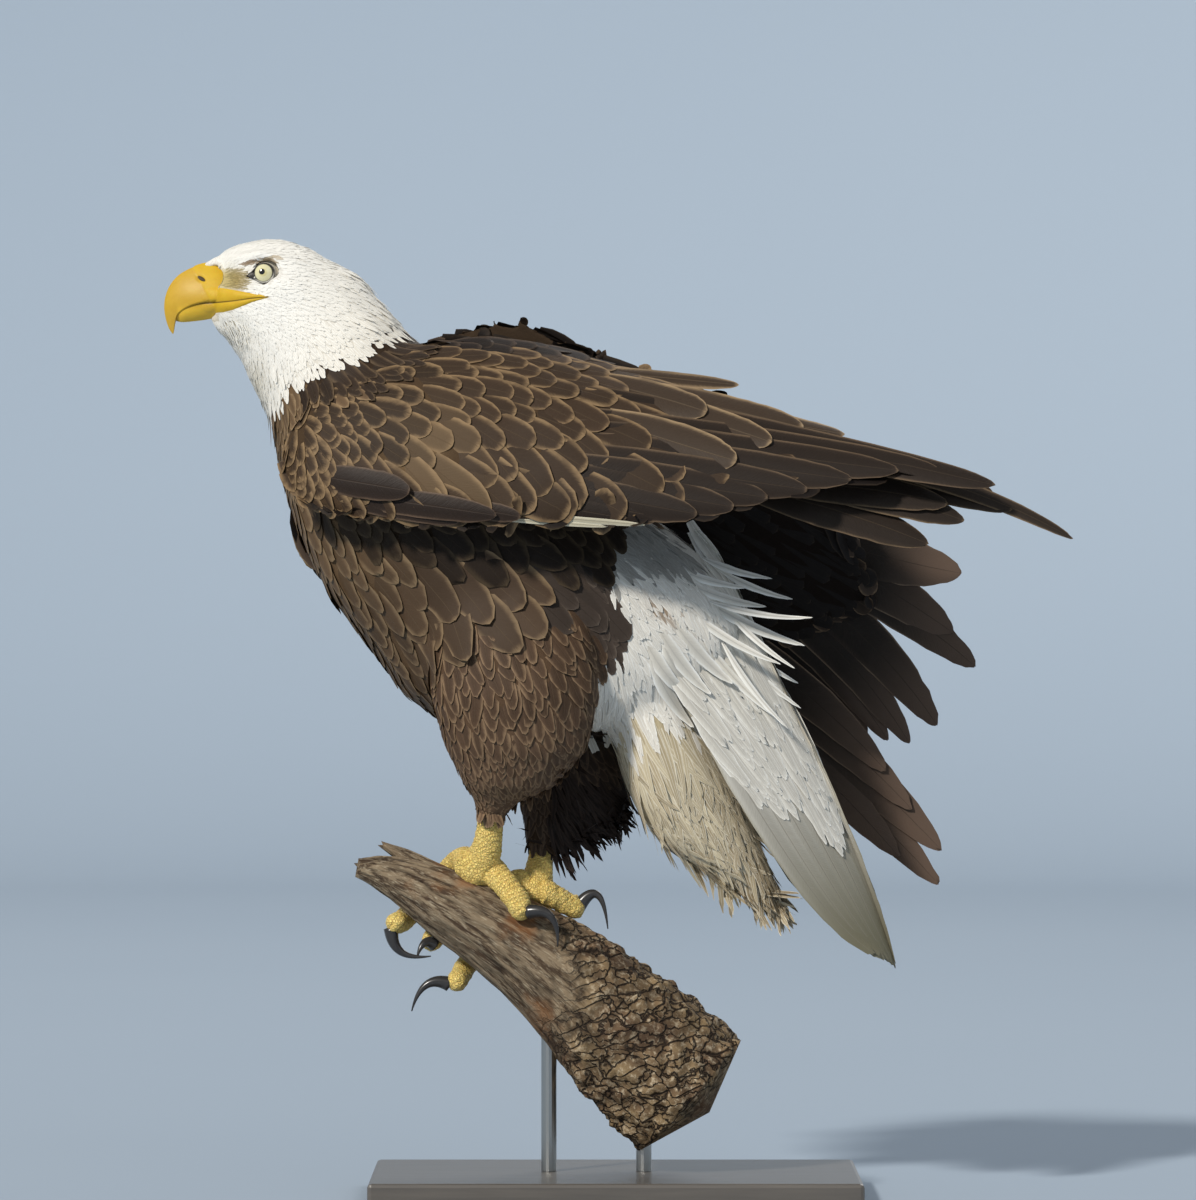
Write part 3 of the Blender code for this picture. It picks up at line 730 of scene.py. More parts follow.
def lay_vanes(name, vanes, stations, lifts, shape, rng, places):
    """One mesh of all the vanes, along four stations each.

    shape is the rows and columns of a vane's faces. places gives each root's spot on the unwrap.
    """
    along, across, faces = vane_template(*shape)
    count, size = len(vanes.root), len(along)
    height = vanes.start[:, None] + vanes.rise[:, None] * vanes.long[:, None] * STATION_AT
    stations = stations + lifts * height[:, :, None]

    value, slope = lagrange(along)
    centre = np.einsum("vk,nkd->nvd", value, stations)
    ahead = unit(np.einsum("vk,nkd->nvd", slope, stations))
    up = unit(np.einsum("vk,nkd->nvd", value, lifts))
    side = unit(np.cross(up, ahead))

    neck = vanes.neck[:, None]
    grown = neck + (1 - neck) * np.sin(np.minimum(along / 0.45, 1) * math.pi / 2)
    taper = np.maximum(1 - along[None, :] ** vanes.tip[:, None], 0) ** 0.55
    half = vanes.wide[:, None] / 2 * grown * taper
    edge = np.abs(across) ** 2 * np.clip(along, 0, 1)
    ragged = rng.normal(0, 1, (count, size)) * vanes.fray[:, None]
    half = half * (1 + ragged * edge * 1.6)
    slip = ragged * (vanes.long[:, None] * 0.25) * np.clip(along - 0.6, 0, 1)
    bow = vanes.sag[:, None] * 4 * along * (1 - along)
    points = centre + side * (across * half + bow)[:, :, None] + ahead * slip[:, :, None]
    tilt = (vanes.roll[:, None] * across - vanes.camber[:, None] * across ** 2) * half
    points = points + up * tilt[:, :, None]

    shift = (np.arange(count) * size)[:, None, None]
    mesh = bpy.data.meshes.new(name)
    quads = (faces[None] + shift).reshape(-1, faces.shape[1])
    mesh.from_pydata(points.reshape(-1, 3).tolist(), [], quads.tolist())
    corner = np.zeros(len(mesh.loops), np.int32)
    mesh.loops.foreach_get("vertex_index", corner)

    def fill_map(label, first, second):
        layer = mesh.uv_layers.new(name=label)
        both = np.stack([np.broadcast_to(first, (count, size)).ravel(),
                         np.broadcast_to(second, (count, size)).ravel()], 1)
        layer.data.foreach_set("uv", both[corner].ravel())

    def fill_colour(label, rgb, fourth):
        layer = mesh.attributes.new(label, "FLOAT_COLOR", "POINT")
        rgba = np.concatenate([rgb, fourth[:, None]], 1)
        layer.data.foreach_set("color", np.repeat(rgba, size, axis=0).ravel())

    fill_map("OFBake", places[:, 0:1] + (across[None, :] / 2) * BAKE_PATCH,
             places[:, 1:2] + (along[None, :] - 0.5) * BAKE_PATCH)
    fill_map("vane", across[None, :] / 2 + 0.5, along[None, :])
    fill_colour("tone", vanes.tone, vanes.shaft)
    fill_colour("rim", vanes.rim, vanes.rim_width / 10)
    sizes = np.stack([vanes.wide / MM / 100, vanes.long / MM / 100, rng.random(count)], 1)
    fill_colour("size", sizes, np.ones(count))
    return mesh


def lay_piece(name, vanes, stations, lifts, shape, rng, material, nodes=()):
    """The vanes as a finished piece, unwrapped over the whole bird."""
    mesh = lay_vanes(name, vanes, stations, lifts, shape, rng, unwrap(vanes.root, *CAD_BOX))
    return finish_piece(name, mesh, material, nodes)


def vanes_along(stations, lifts, wide):
    """Vanes that run from the first to the last of their stations."""
    root = stations[:, 0]
    chord = stations[:, 3] - root
    long = np.linalg.norm(chord, axis=1)
    return Vanes(root, lifts[:, 0], chord / long[:, None], long, wide)


def unwrap(points, low, high):
    """A spot for each place on a wrap of the skin round its length."""
    middle = (low + high) / 2
    turn = np.arctan2(points[:, 1] - middle[1], points[:, 2] - middle[2]) / (2 * math.pi) + 0.5
    length = (points[:, 0] - low[0]) / (high[0] - low[0])
    return np.stack([0.01 + 0.98 * length, 0.01 + 0.98 * turn], 1)


def feather_material(name, sheen, roughness, barb_depth, tip_hex=None, tip_span=(0.45, 0.95)):
    """Keratin vanes. Barbs run out from the shaft, so light breaks into fine slanting streaks."""
    material, tree, shader = new_material(name, **{
        "Roughness": roughness, "Specular IOR Level": 0.18,
        "Sheen Weight": sheen, "Sheen Roughness": 0.45})
    vane = add_node(tree, "SeparateXYZ", {0: add_node(tree, "UVMap", uv_map="vane").outputs[0]})
    size = add_node(tree, "SeparateXYZ", {0: attribute(tree, "size")})
    across = calc(tree, "ABSOLUTE", calc(tree, "MULTIPLY_ADD", vane.outputs[0], 2.0, -1.0))
    half_mm = times(tree, size.outputs[0], 50.0)
    out_mm = times(tree, across, half_mm)
    down_mm = times(tree, times(tree, vane.outputs[1], size.outputs[1]), 100.0)
    # Streaks along the barbs
    lane = calc(tree, "MULTIPLY_ADD", out_mm, -0.9, down_mm)
    spot = combine(tree, times(tree, lane, 1.1), times(tree, out_mm, 0.12),
                   times(tree, size.outputs[2], 91.0))
    barbs = noise(tree, spot, 1.0, detail=3.0)
    fine = noise(tree, spot, 3.4, detail=1.0)
    # Pale rim, from the distance to the vane's edge
    side_gap = calc(tree, "SUBTRACT", half_mm, out_mm)
    tip_gap = calc(tree, "SUBTRACT", times(tree, size.outputs[1], 90.0), times(tree, down_mm, 0.9))
    gap = calc(tree, "MINIMUM", side_gap, tip_gap)
    rim_mm = times(tree, attribute(tree, "rim", "Alpha"), 10.0)
    reach = times(tree, rim_mm, calc(tree, "MULTIPLY_ADD", barbs, 0.9, 0.55))
    rim = remap(tree, gap, times(tree, reach, 0.05), times(tree, reach, 2.4), 0.92, 0.0)
    wear_and_painted_light = combine(tree, times(tree, vane.outputs[0], 2.2), times(tree, vane.outputs[1], 2.2),
                   times(tree, size.outputs[2], 57.0))
    rim = times(tree, rim, remap(tree, noise(tree, wear_and_painted_light, 1.6, detail=2.0), 0.3, 0.62, 0.45, 1.0))
    tone, rim_tone = attribute(tree, "tone"), attribute(tree, "rim")
    colour = mix(tree, times(tree, barbs, 0.55), tone, shaded(tree, tone, 0.45, 0.42, 0.40))
    colour = mix(tree, times(tree, fine, 0.18), colour, rim_tone)
    inward = remap(tree, gap, 1.0, 7.0, 0.0, 0.45)
    colour = mix(tree, inward, colour, shaded(tree, tone, 0.42, 0.40, 0.38))
    colour = mix(tree, rim, colour, rim_tone)
    if tip_hex:
        colour = mix(tree, remap(tree, vane.outputs[1], *tip_span), colour, linear(tip_hex))
    # Shaft
    shaft = remap(tree, out_mm, 0.25, 0.65, 1.0, 0.0)
    dark_shaft = shaded(tree, tone, 0.3, 0.28, 0.26)
    shaft_tone = mix(tree, attribute(tree, "tone", "Alpha"), dark_shaft, rim_tone)
    colour = mix(tree, times(tree, shaft, 0.6), colour, shaft_tone)
    dress(tree, shader, colour, calc(tree, "ADD", barbs, times(tree, shaft, 0.6)), 0.5, barb_depth)
    return material


def jitter(rng, vanes, turn_degrees, tone_spread=0.12):
    """Small accidents of lie, length and colour."""
    count = len(vanes.root)
    turn = np.radians(rng.normal(0, turn_degrees, count))[:, None]
    side = np.cross(vanes.normal, vanes.lie)
    vanes.lie = unit(vanes.lie * np.cos(turn) + side * np.sin(turn))
    vanes.long *= rng.uniform(0.9, 1.12, count)
    vanes.wide *= rng.uniform(0.9, 1.1, count)
    vanes.tone *= rng.uniform(1 - tone_spread, 1 + tone_spread, (count, 1))
    vanes.rim_width *= rng.uniform(0.7, 1.4, count)
    vanes.rise *= rng.uniform(0.93, 1.1, count)


# ---- What grows where
# Near wing's coverts: x, z, gap between feathers, length, width
LEFT_WING_SIZES = [
    (-252, 570, 10, 22, 15), (-240, 545, 9, 20, 14), (-225, 560, 12, 25, 17), (-228, 600, 12, 26, 16),
    (-200, 640, 13, 32, 16), (-185, 600, 16, 36, 23), (-195, 570, 18, 40, 26), (-150, 665, 14, 40, 17),
    (-150, 620, 16, 36, 23), (-150, 570, 24, 56, 36), (-100, 670, 14, 42, 18), (-95, 625, 16, 36, 23),
    (-95, 580, 21, 50, 32), (-60, 550, 30, 66, 46), (-50, 655, 16, 42, 24), (-45, 610, 19, 46, 29),
    (-30, 580, 28, 64, 44), (20, 640, 20, 54, 30), (20, 605, 24, 60, 34), (30, 575, 34, 84, 50),
    (100, 610, 28, 84, 34), (100, 570, 36, 110, 40), (180, 575, 34, 110, 34),
]


def shades(*hex_colours):
    """Hex colours as rows of linear RGB."""
    return np.array([linear(colour) for colour in hex_colours])


def far_weights(rows, x, z):
    """Inverse-distance weights of rows that start with x and z."""
    guide = np.array(rows, float)
    far = (x[:, None] - guide[:, 0]) ** 2 + (z[:, None] - guide[:, 1]) ** 2
    weight = 1 / (far + NEAR_BLUR) ** NEAR_POWER
    return weight / weight.sum(1, keepdims=True), guide[:, 2:]


class Looks:
    """Feather sizes in mm, shapes and colours at many places."""

    def __init__(self, count):
        for name, value in {**PLAIN, "gap": 12.0, "long": 30.0, "wide": 15.0, "wave": 0.0}.items():
            setattr(self, name, np.full(count, value))
        self.tone, self.rim = np.zeros((count, 3)), np.zeros((count, 3))

    def put(self, where, **values):
        """Gives the places in where the same values, or each its own."""
        for name, value in values.items():
            array = getattr(self, name)
            value = np.asarray(value, float)
            if value.shape[:1] == (len(where),) and len(where) > 3:
                value = value[where]
            array[where] = value


def blend(low, high, share):
    """Rows that go from low to high as share goes from 0 to 1."""
    share = np.clip(share, 0, 1)[:, None]
    return np.asarray(low) * (1 - share) + np.asarray(high) * share


def head_looks(looks, x, z, head):
    """Head and neck: scale-like near the bill, long pointed hackles down the neck."""
    far = np.sqrt((x + 300) ** 2 + (z - 712) ** 2)
    gap = np.interp(far, [6, 25, 50, 80, 120, 170], [1.3, 1.6, 2.2, 2.9, 3.9, 5.2])
    warm = blend(shades("#FBF8F0"), shades("#F3ECDC"), (far - 40) / 90)
    chin = np.exp(-(((x + 302) / 16) ** 2 + ((z - 674) / 13) ** 2))
    throat = np.exp(-(((x + 283) / 9) ** 2 + ((z - 640) / 22) ** 2))
    # Painted shade under the bill, on the chin and down the throat
    warm = warm * (1 - 0.6 * np.maximum(chin, 0.8 * throat)[:, None] * np.array([0.85, 0.95, 1.2]))
    looks.put(head, gap=gap, long=gap * 4.6, wide=gap * 1.6,
              tip=np.interp(far, [10, 60, 120], [2.6, 1.9, 1.5]),
              rise=np.interp(far, [10, 60, 160], [0.12, 0.085, 0.09]), start=-0.08, neck=0.6, fray=0.08,
              rim_width=0.4, shaft=1.0, camber=0.2, tone=warm, rim=shades("#FFFEF8"))
    looks.put(head & (chin > 0.45), gap=1.6, long=9.0, wide=1.5, tip=1.3, rise=0.2, wave=0.5)
    # Lores and brow line; the brow line darkens towards its front with painted shade under the brow ridge
    lores = np.exp(-np.abs((x + 300) / 14.5) ** 2.4 - np.abs((z - 714.5) / 9.6) ** 2.6) * 1.15
    brow = np.exp(-((x + 281) / 14) ** 4 - ((z - (729.4 + 0.26 * (x + 280))) / 1.9) ** 2)
    front = np.clip((-276 - x) / 12, 0, 1)
    tan = blend(warm, blend(shades("#B8A26A"), shades("#DDCD92"), (-294 - x) / 14), lores)
    tan = blend(tan, blend(shades("#A98F66"), shades("#6C5132"), front), brow * 0.85)
    looks.put(head & (far < 45), tone=tan)
    looks.put(head & (brow > 0.3), rim=blend(shades("#C9B48F"), shades("#7F6440"), front), rim_width=0.3)
    corner = np.exp(-((x - EYE_X + 12.6) / 3.6) ** 2 - ((z - EYE_Z + 1.9) / 2.2) ** 2)
    looks.put(head & (corner > 0.35), tone=shades("#2E241B"), rim=shades("#4A3B2C"))
    fringe = head & (x < -311) & (z > 720)
    looks.put(fringe, gap=1.2, long=3.6, wide=1.4, rise=0.05)
    bristly = head & (lores > 0.5) & (corner <= 0.35)
    looks.put(bristly, gap=1.5, long=5.0, wide=1.0, tip=1.4, rim=shades("#B9A872"), shaft=0.3)


def body_looks(looks, x, y, z, brown):
    """Mantle, breast, belly and flank."""
    down = np.clip((640 - z) / 240, 0, 1)
    fore = np.clip((-150 - x) / 70, 0, 1)
    size = np.interp(down, [0, 0.3, 0.7, 1.0], [8, 10.5, 11, 9])
    side = np.exp(-(((x + 120) / 55) ** 2 + ((z - 490) / 45) ** 2)) * (np.abs(y) > 25)
    size = size + side * 9.5
    tone = blend(shades("#4E3D30"), shades("#715A42"), fore)
    tone = blend(tone, shades("#5D4A38"), (down - 0.55) * 3)
    looks.put(brown, gap=size, long=size * 3.1, wide=size * 1.75, tip=blend([4.5], [2.3], down)[:, 0],
              rise=0.085, fray=0.06, rim_width=np.interp(down, [0, 0.3, 1], [1.4, 2.2, 1.7]), shaft=0.3,
              roll=0.07, camber=0.1, tone=tone, rim=blend(shades("#9A8262"), shades("#7F6A50"), down))
    collar = brown & (polyline_side(COLLAR, x, z) > -40) & (x < -125)
    looks.put(collar, gap=7.0, long=32.0, wide=13.0, tip=2.4, rise=0.08, rim_width=1.2, wave=0.5)
    looks.put(collar & (z > 632), tone=shades("#33271F"), rim=shades("#66543F"))
    mantle = brown & (z > 560) & (x > -150)
    looks.put(mantle, gap=10.0, long=42.0, wide=20.0, tip=4.0, rim_width=1.3, tone=shades("#3A2D25"))
    back = mantle & (x > -40)
    looks.put(back, gap=15.0, long=56.0, wide=28.0, tip=4.0, rim_width=1.1, rise=0.04)
    bib = brown & (x < -222) & (z > 555) & (z < 632)
    looks.put(bib, gap=5.5, long=22.0, wide=10.0)
    flank = brown & (x > -85) & (z < 505)
    looks.put(flank, gap=14.0, long=54.0, wide=30.0, tip=3.0, rise=0.05, fray=0.05,
              tone=shades("#4B4038"), rim=shades("#62564B"), rim_width=1.0, shaft=0.1)
    brink = flank & (x > vent_edge(z) - 16)
    looks.put(brink, gap=5.5, long=26.0, wide=13.0, tip=2.4, fray=0.12)
    tuft = brown & (x > -70) & (z < 375)
    looks.put(tuft, gap=6.0, long=36.0, wide=8.0, tip=1.6, rise=0.14, fray=0.2, tone=shades("#2B221D"),
              rim=shades("#4A3B30"), rim_width=0.8, wave=1.5)


def vent_looks(looks, x, z, vent, undertail_locks):
    """White vent, rump and undertail coverts: long soft locks."""
    low = np.clip((420 - z) / 150, 0, 1)
    cream = blend(shades("#F5F0E4"), shades("#E9DFCB"), low)
    looks.put(vent, gap=5.0, long=np.interp(low, [0, 1], [34, 52]), wide=8.0, tip=1.6, rise=0.06,
              neck=0.5, fray=0.14, camber=0.12, wave=1.4, tone=cream, rim=shades("#FFFDF6"),
              rim_width=0.7, shaft=0.9)
    # Painted shadow: a brownish patch on the white vent
    vent_shadow = np.exp(-(((x - 26) / 15) ** 2 + ((z - 470 + 0.75 * (x - 26)) / 6) ** 2))
    looks.put(vent, tone=blend(cream, shades("#8E765E"), vent_shadow * 0.9),
              rim=blend(shades("#FFFDF6"), shades("#A28B70"), vent_shadow))
    looks.put(vent & (vent_shadow > 0.15), gap=2.6, long=20.0, wide=4.5)
    # Undertail locks: tan streaks of painted shade between the locks, deepest in the seam against the tail
    # and stronger towards the bottom
    tail_seam_shade = np.exp(-((x - 70 + (z - 340) * 0.45) / 26) ** 2)
    streak = np.clip(0.6 * np.sin(x * 0.42 + z * 0.11) + 0.4 + 0.8 * tail_seam_shade, 0, 1)
    streaked = blend(shades("#DFD0AC"), shades("#8A744E"), streak * np.interp(z, [240, 400], [1.0, 0.45]))
    looks.put(undertail_locks, gap=4.6, long=np.interp(z, [240, 330, 400], [42, 70, 78]), wide=7.5, rise=0.055,
              tip=1.3, wave=2.4, tone=streaked, rim=shades("#EFE7D3"))


def underwing_shadow_looks(looks, x, y, z, white, body):
    """Painted shadow that the near wing casts on the body: the plumage under the wing is darkened."""
    # Painted shadow of the near wing: tone and rim are darkened from the wing down to this hem
    hem = np.interp(x, [-225, -163, -75, -29, 3, 86], [529, 510, 498, 497, 500, 506])
    underwing_shadow = body & (y < -20) & (x > -240) & (x < 120) & (z < 600) & (z > hem)
    looks.tone[underwing_shadow] *= np.where(white[underwing_shadow], 0.45, 0.3)[:, None]
    looks.rim[underwing_shadow] *= np.where(white[underwing_shadow], 0.5, 0.28)[:, None]


def thigh_looks(looks, x, y, z, thigh):
    """Thighs, with a short cuff and a ragged hem."""
    low = np.clip((400 - z) / 90, 0, 1)
    gap = np.interp(low, [0, 1], [8.5, 4.5])
    looks.put(thigh, gap=gap, long=gap * 3.6, wide=gap * 1.6, tip=2.4, rise=0.09, fray=0.1, rim_width=1.3,
              shaft=0.25, wave=0.6, tone=blend(shades("#533F30"), shades("#665040"), low),
              rim=shades("#93795D"))
    looks.put(thigh & (y > 4), tone=shades("#3A2D24"), rim=shades("#5F4D3D"))
    cuff = thigh & (z < np.where(y < 0, 318, 288))
    looks.put(cuff, gap=3.4, long=12.0, rise=0.05, wave=0.2)
    ragged = thigh & (x > -52) & (z < 330 + 9 * np.sin(x * 0.4)) & (y > 0)
    looks.put(ragged, gap=4.0, long=32.0, wide=5.0, tip=1.3, rise=0.2, fray=0.3, tone=shades("#251D1A"),
              rim=shades("#3C3029"), wave=2.0)


def near_wing_looks(looks, x, z, near):
    """Coverts of the near wing."""
    weight, guide = far_weights(LEFT_WING_SIZES, x, z)
    sizes = weight @ guide
    patch = np.exp(-(((x + 154) / 19) ** 2 + ((z - 584) / 25) ** 2))
    aft = np.clip((x - 30) / 90, 0, 1)
    tone = blend(shades("#3E2F24"), shades("#2F241D"), aft)
    tone = blend(tone, shades("#957B5A"), patch * 0.9)
    gap = sizes[:, 0] * 0.8
    looks.put(near, gap=gap, long=np.maximum(sizes[:, 1], gap * 2.9), wide=gap * 1.72,
              tip=np.interp(aft, [0, 1], [5.5, 4.0]), rise=0.06, neck=0.8, camber=0.06, roll=0.075,
              fray=0.03, rim_width=np.interp(aft, [0, 1], [1.9, 1.2]), shaft=0.2, tone=tone,
              rim=blend(shades("#957B5A"), shades("#6E5A45"), aft))
    # Painted shade along the wing's upper edge, in the shadow band over the back
    crest = near & (z > np.interp(x, [-190, -150, -90, -25, 60], [650, 655, 662, 654, 634]))
    looks.put(crest, tone=shades("#241C18"), rim=shades("#4E4034"))
    low_edge = near & (x > -215) & (x < 60)
    looks.put(low_edge, long=np.minimum(looks.long, np.maximum((z - 525) * 1.7, 9)))
    wrist = near & (x < -205) & (z > 560)
    looks.put(wrist, gap=gap * 0.72, long=np.maximum(gap * 2.4, 14), rise=0.05)
    looks.tone[near & (x < -165) & (z > 585)] *= 0.75


def far_wing_looks(looks, x, y, z, other):
    """The side towards the body is dark brown deepened to near black by painted shade; the outer side is
    like the near wing.
    """
    outer = other & (y > 90)
    # Painted shade: near black on the side towards the body
    looks.put(other, gap=15.0, long=70.0, wide=28.0, tip=4.0, rise=0.03, neck=0.7, rim_width=0.8,
              shaft=0.3, tone=shades("#1D1714"), rim=shades("#32281F"))
    looks.put(other & (z > 600), gap=10.0, long=38.0, wide=20.0, tone=shades("#3A2E26"),
              rim=shades("#8A7458"))
    looks.put(outer & ((z > 540) | (x < -20)), gap=13.0, long=46.0, wide=26.0, tone=shades("#42352C"),
              rim=shades("#A08968"), rim_width=1.6, roll=0.07, camber=0.06)


def looks_at(points, part):
    """What grows at places in mm."""
    x, y, z = points.T
    looks = Looks(len(points))
    white = is_white(points, part)
    name = np.array(SKIN_NODES)[part]
    body = np.isin(name, BODY_NODES)
    head_looks(looks, x, z, white & (x < -140) & body)
    body_looks(looks, x, y, z, body & ~white)
    vent_looks(looks, x, z, white & body & (x > -140), name == "undertail_coverts")
    underwing_shadow_looks(looks, x, y, z, white, body)
    thigh_looks(looks, x, y, z, np.isin(name, ("thigh_left", "thigh_right")))
    near_wing_looks(looks, x, z, name == "wing_left")
    far_wing_looks(looks, x, y, z, name == "wing_right")
    return looks


def lie_at(points, normals, part):
    """The direction of the plumage at places in mm, by the part that they are on."""
    way = np.zeros_like(points)
    name = np.array(SKIN_NODES)[part]
    for rows, names in ((BODY_LIE, BODY_NODES), (THIGH_LIE, ("thigh_left", "thigh_right")),
                        (LEFT_WING_LIE, ("wing_left",)), (RIGHT_WING_LIE, ("wing_right",))):
        chosen = np.isin(name, names)
        if chosen.any():
            way[chosen] = lie_field(rows, points[chosen] * MM, normals[chosen])
    return way


PROBE_HEIGHTS = (0.006, 0.02)  # where the skin under a vane is looked for from, in metres
LEAST_FACING = 0.2  # how far the skin may turn away within a vane
LONGEST_STEP = 0.6  # the furthest that a station may jump, in lengths of the vane


def follow_skin(vanes, surface, trim):
    """Four stations of each vane's middle line over the skin, and the way up at each."""
    count = len(vanes.root)
    stations, lifts = np.zeros((count, 4, 3)), np.zeros((count, 4, 3))
    held = np.ones(count)
    for i in range(count):
        up = Vector(vanes.normal[i])
        before = None
        for k, share in enumerate(STATION_AT):
            spot = Vector(vanes.root[i] + vanes.lie[i] * (vanes.long[i] * share))
            lift = up
            if k:
                for high in PROBE_HEIGHTS:
                    hit, hit_normal, _, _ = surface.ray_cast(spot + up * high, -up, 0.05)
                    if hit is None or hit_normal.dot(up) <= LEAST_FACING:
                        continue
                    if (hit - before).length < LONGEST_STEP * vanes.long[i]:
                        spot, lift = hit, hit_normal
                        break
                else:
                    held[i] = min(held[i], STATION_AT[k - 1] + 0.2)
                    if k > 1:
                        spot = before + (before - Vector(stations[i, k - 2]))
                        lift = Vector(lifts[i, k - 1])
            stations[i, k], lifts[i, k] = spot, lift
            before = spot
    if trim:
        # A vane that would fly past the skin's edge is shortened to end near it
        held = np.where(vanes.root[:, 0] > -0.15, held, np.maximum(held, 0.65))
        for i in np.flatnonzero(held < 1):
            stations[i] = lagrange(STATION_AT * held[i])[0] @ stations[i]
            vanes.long[i] *= held[i]
            vanes.wide[i] *= 0.5 + 0.5 * held[i]
    return stations, unit(lifts)


def skin_data():
    """The finished skin, and its search tree in metres."""
    mesh = bpy.data.objects["skin"].data
    points = [vert.co.copy() for vert in mesh.vertices]
    return mesh, BVHTree.FromPolygons(points, [tuple(face.vertices) for face in mesh.polygons])


def face_parts(skin):
    """The number in SKIN_NODES of each face's node."""
    parts = np.zeros(len(skin.polygons), np.int32)
    skin.attributes["part"].data.foreach_get("value", parts)
    return parts


def is_bare(points):
    """Places in mm that the eyes, the gape and the bill keep clear of feathers."""
    x, _, z = points.T
    rows = np.array(GAPE)
    ahead = x - EYE_X + 1.9
    above = z - EYE_Z + 0.1 - 0.12 * np.minimum(ahead, 0)
    eye = np.hypot(ahead / np.where(ahead < 0, BARE_AHEAD, BARE_BEHIND), above / BARE_HIGH) < 1
    above, below = np.interp(x, rows[:, 0], rows[:, 1]), np.interp(x, rows[:, 0], rows[:, 3])
    gape = (z < above - 0.6) & (z > below + np.clip(0.3 * (above - below), 0.6, 2.4))
    bill = (x < -310.5) & (z < 725.5) & (z > 684.5)
    return ((eye | gape) & (x < -255) & ~((x > -269) & ~eye)) | bill


def grow_coat(name, wanted, material, seed, shape, turn=6.0, spread=0.18, change=None, trim=False,
              rounds=0):
    """One mesh of feathers over the skin's wanted faces.

    turn, in degrees, and spread, of tone, are their accidents. rounds is how often roots are evened out.
    """
    rng = np.random.default_rng(seed)
    skin, surface = skin_data()
    parts = face_parts(skin)
    centres = np.array([face.center for face in skin.polygons]) / MM
    chosen = wanted(centres, parts, np.array([face.normal for face in skin.polygons]))

    def spacing(places, numbers):
        return looks_at(places, parts[numbers]).gap * bpy.context.scene.eagle_plumage.spacing

    roots, normals, numbers, gaps = scatter(skin, chosen, spacing, rng)
    if rounds:
        roots, normals, numbers = relax(roots, gaps, surface, rounds)
    part = parts[numbers]
    keep = ~is_bare(roots / MM)
    roots, normals, part = roots[keep], normals[keep], part[keep]
    looks = looks_at(roots / MM, part)
    vanes = Vanes(roots, normals, lie_at(roots / MM, normals, part), looks.long * MM, looks.wide * MM)
    vanes.put(**{trait: getattr(looks, trait) for trait in (*PLAIN, "tone", "rim")})
    vanes.start *= MM
    vanes.sag = rng.normal(0, 1, len(roots)) * looks.wave * MM
    jitter(rng, vanes, turn, spread)
    if change:
        change(vanes, rng)
    stations, lifts = follow_skin(vanes, surface, trim)
    points = places_of(skin)
    spots = unwrap(roots, points.min(0), points.max(0))
    mesh = lay_vanes(name, vanes, stations, lifts, shape, rng, spots)
    return finish_piece(name, mesh, material)


# ---- Operators
class EAGLE_OT_skin(bpy.types.Operator):
    """Makes the skin that the plumage grows on"""
    bl_idname = "eagle.skin"
    bl_label = "Skin"

    def execute(self, context):
        skin = make_skin(context.scene.eagle_plumage)
        centres = np.array([face.center for face in skin.polygons])
        skin.attributes.new("part", "INT", "FACE").data.foreach_set("value", part_of(centres))
        points = places_of(skin)
        looks = looks_at(points / MM, part_of(points))
        white = looks.tone.min(1, keepdims=True) > 0.3
        tone = np.where(white, looks.tone * 0.97, looks.tone * 0.85 + looks.rim * 0.15)
        tone = np.concatenate([tone, np.ones((len(points), 1))], 1)
        skin.attributes.new("tone", "FLOAT_COLOR", "POINT").data.foreach_set("color", tone.ravel())
        # Down over skin: soft and dull, so that gaps between vanes read as shade
        material, tree, shader = new_material("downy_skin", **{
            "Roughness": 0.9, "Specular IOR Level": 0.1})
        fluff = noise(tree, object_place(tree), 900.0, detail=5.0)
        tone = attribute(tree, "tone")
        dress(tree, shader, mix(tree, fluff, shaded(tree, tone, 0.7, 0.68, 0.66), tone), fluff, 0.6, 0.8)
        finish_piece("skin", skin, material, SKIN_NODES)
        return {"FINISHED"}


class EAGLE_OT_head_coat(bpy.types.Operator):
    """Lays the white feathers of the head and neck"""
    bl_idname = "eagle.head_coat"
    bl_label = "Head coat"

    def execute(self, context):
        # White vanes with a soft sheen: a smooth close-set head
        white = feather_material("white_contour_feather", 0.05, 0.72, 0.2)

        def ruff(centres, parts, normals):
            """The neck's faces."""
            return is_white(centres, parts) & (centres[:, 0] < -140) & (parts > 0) & (parts < 5)

        def ruffle(vanes, rng):
            """Some hackles stand off the nape and throat."""
            x, z = vanes.root[:, 0] / MM, vanes.root[:, 2] / MM
            nape = (x > -222) & (z > 684) & (rng.random(len(x)) < 0.10)
            loose = nape | (x < -262) & (rng.random(len(x)) < 0.22)
            vanes.rise[loose] *= 2.0
            vanes.long[loose] *= 1.2
            hem = (polyline_side(COLLAR, x, z) < 18) & (x > -262)
            vanes.long[hem] *= rng.uniform(0.45, 1.1, hem.sum())
            vanes.wide[hem] *= rng.uniform(0.8, 1.5, hem.sum())

        grow_coat("head_coat", lambda c, p, n: p == 0, white, 11, (4, 2), 5.0, 0.04)
        grow_coat("ruff_coat", ruff, white, 12, (6, 2), 7.0, 0.04, change=ruffle)
        return {"FINISHED"}


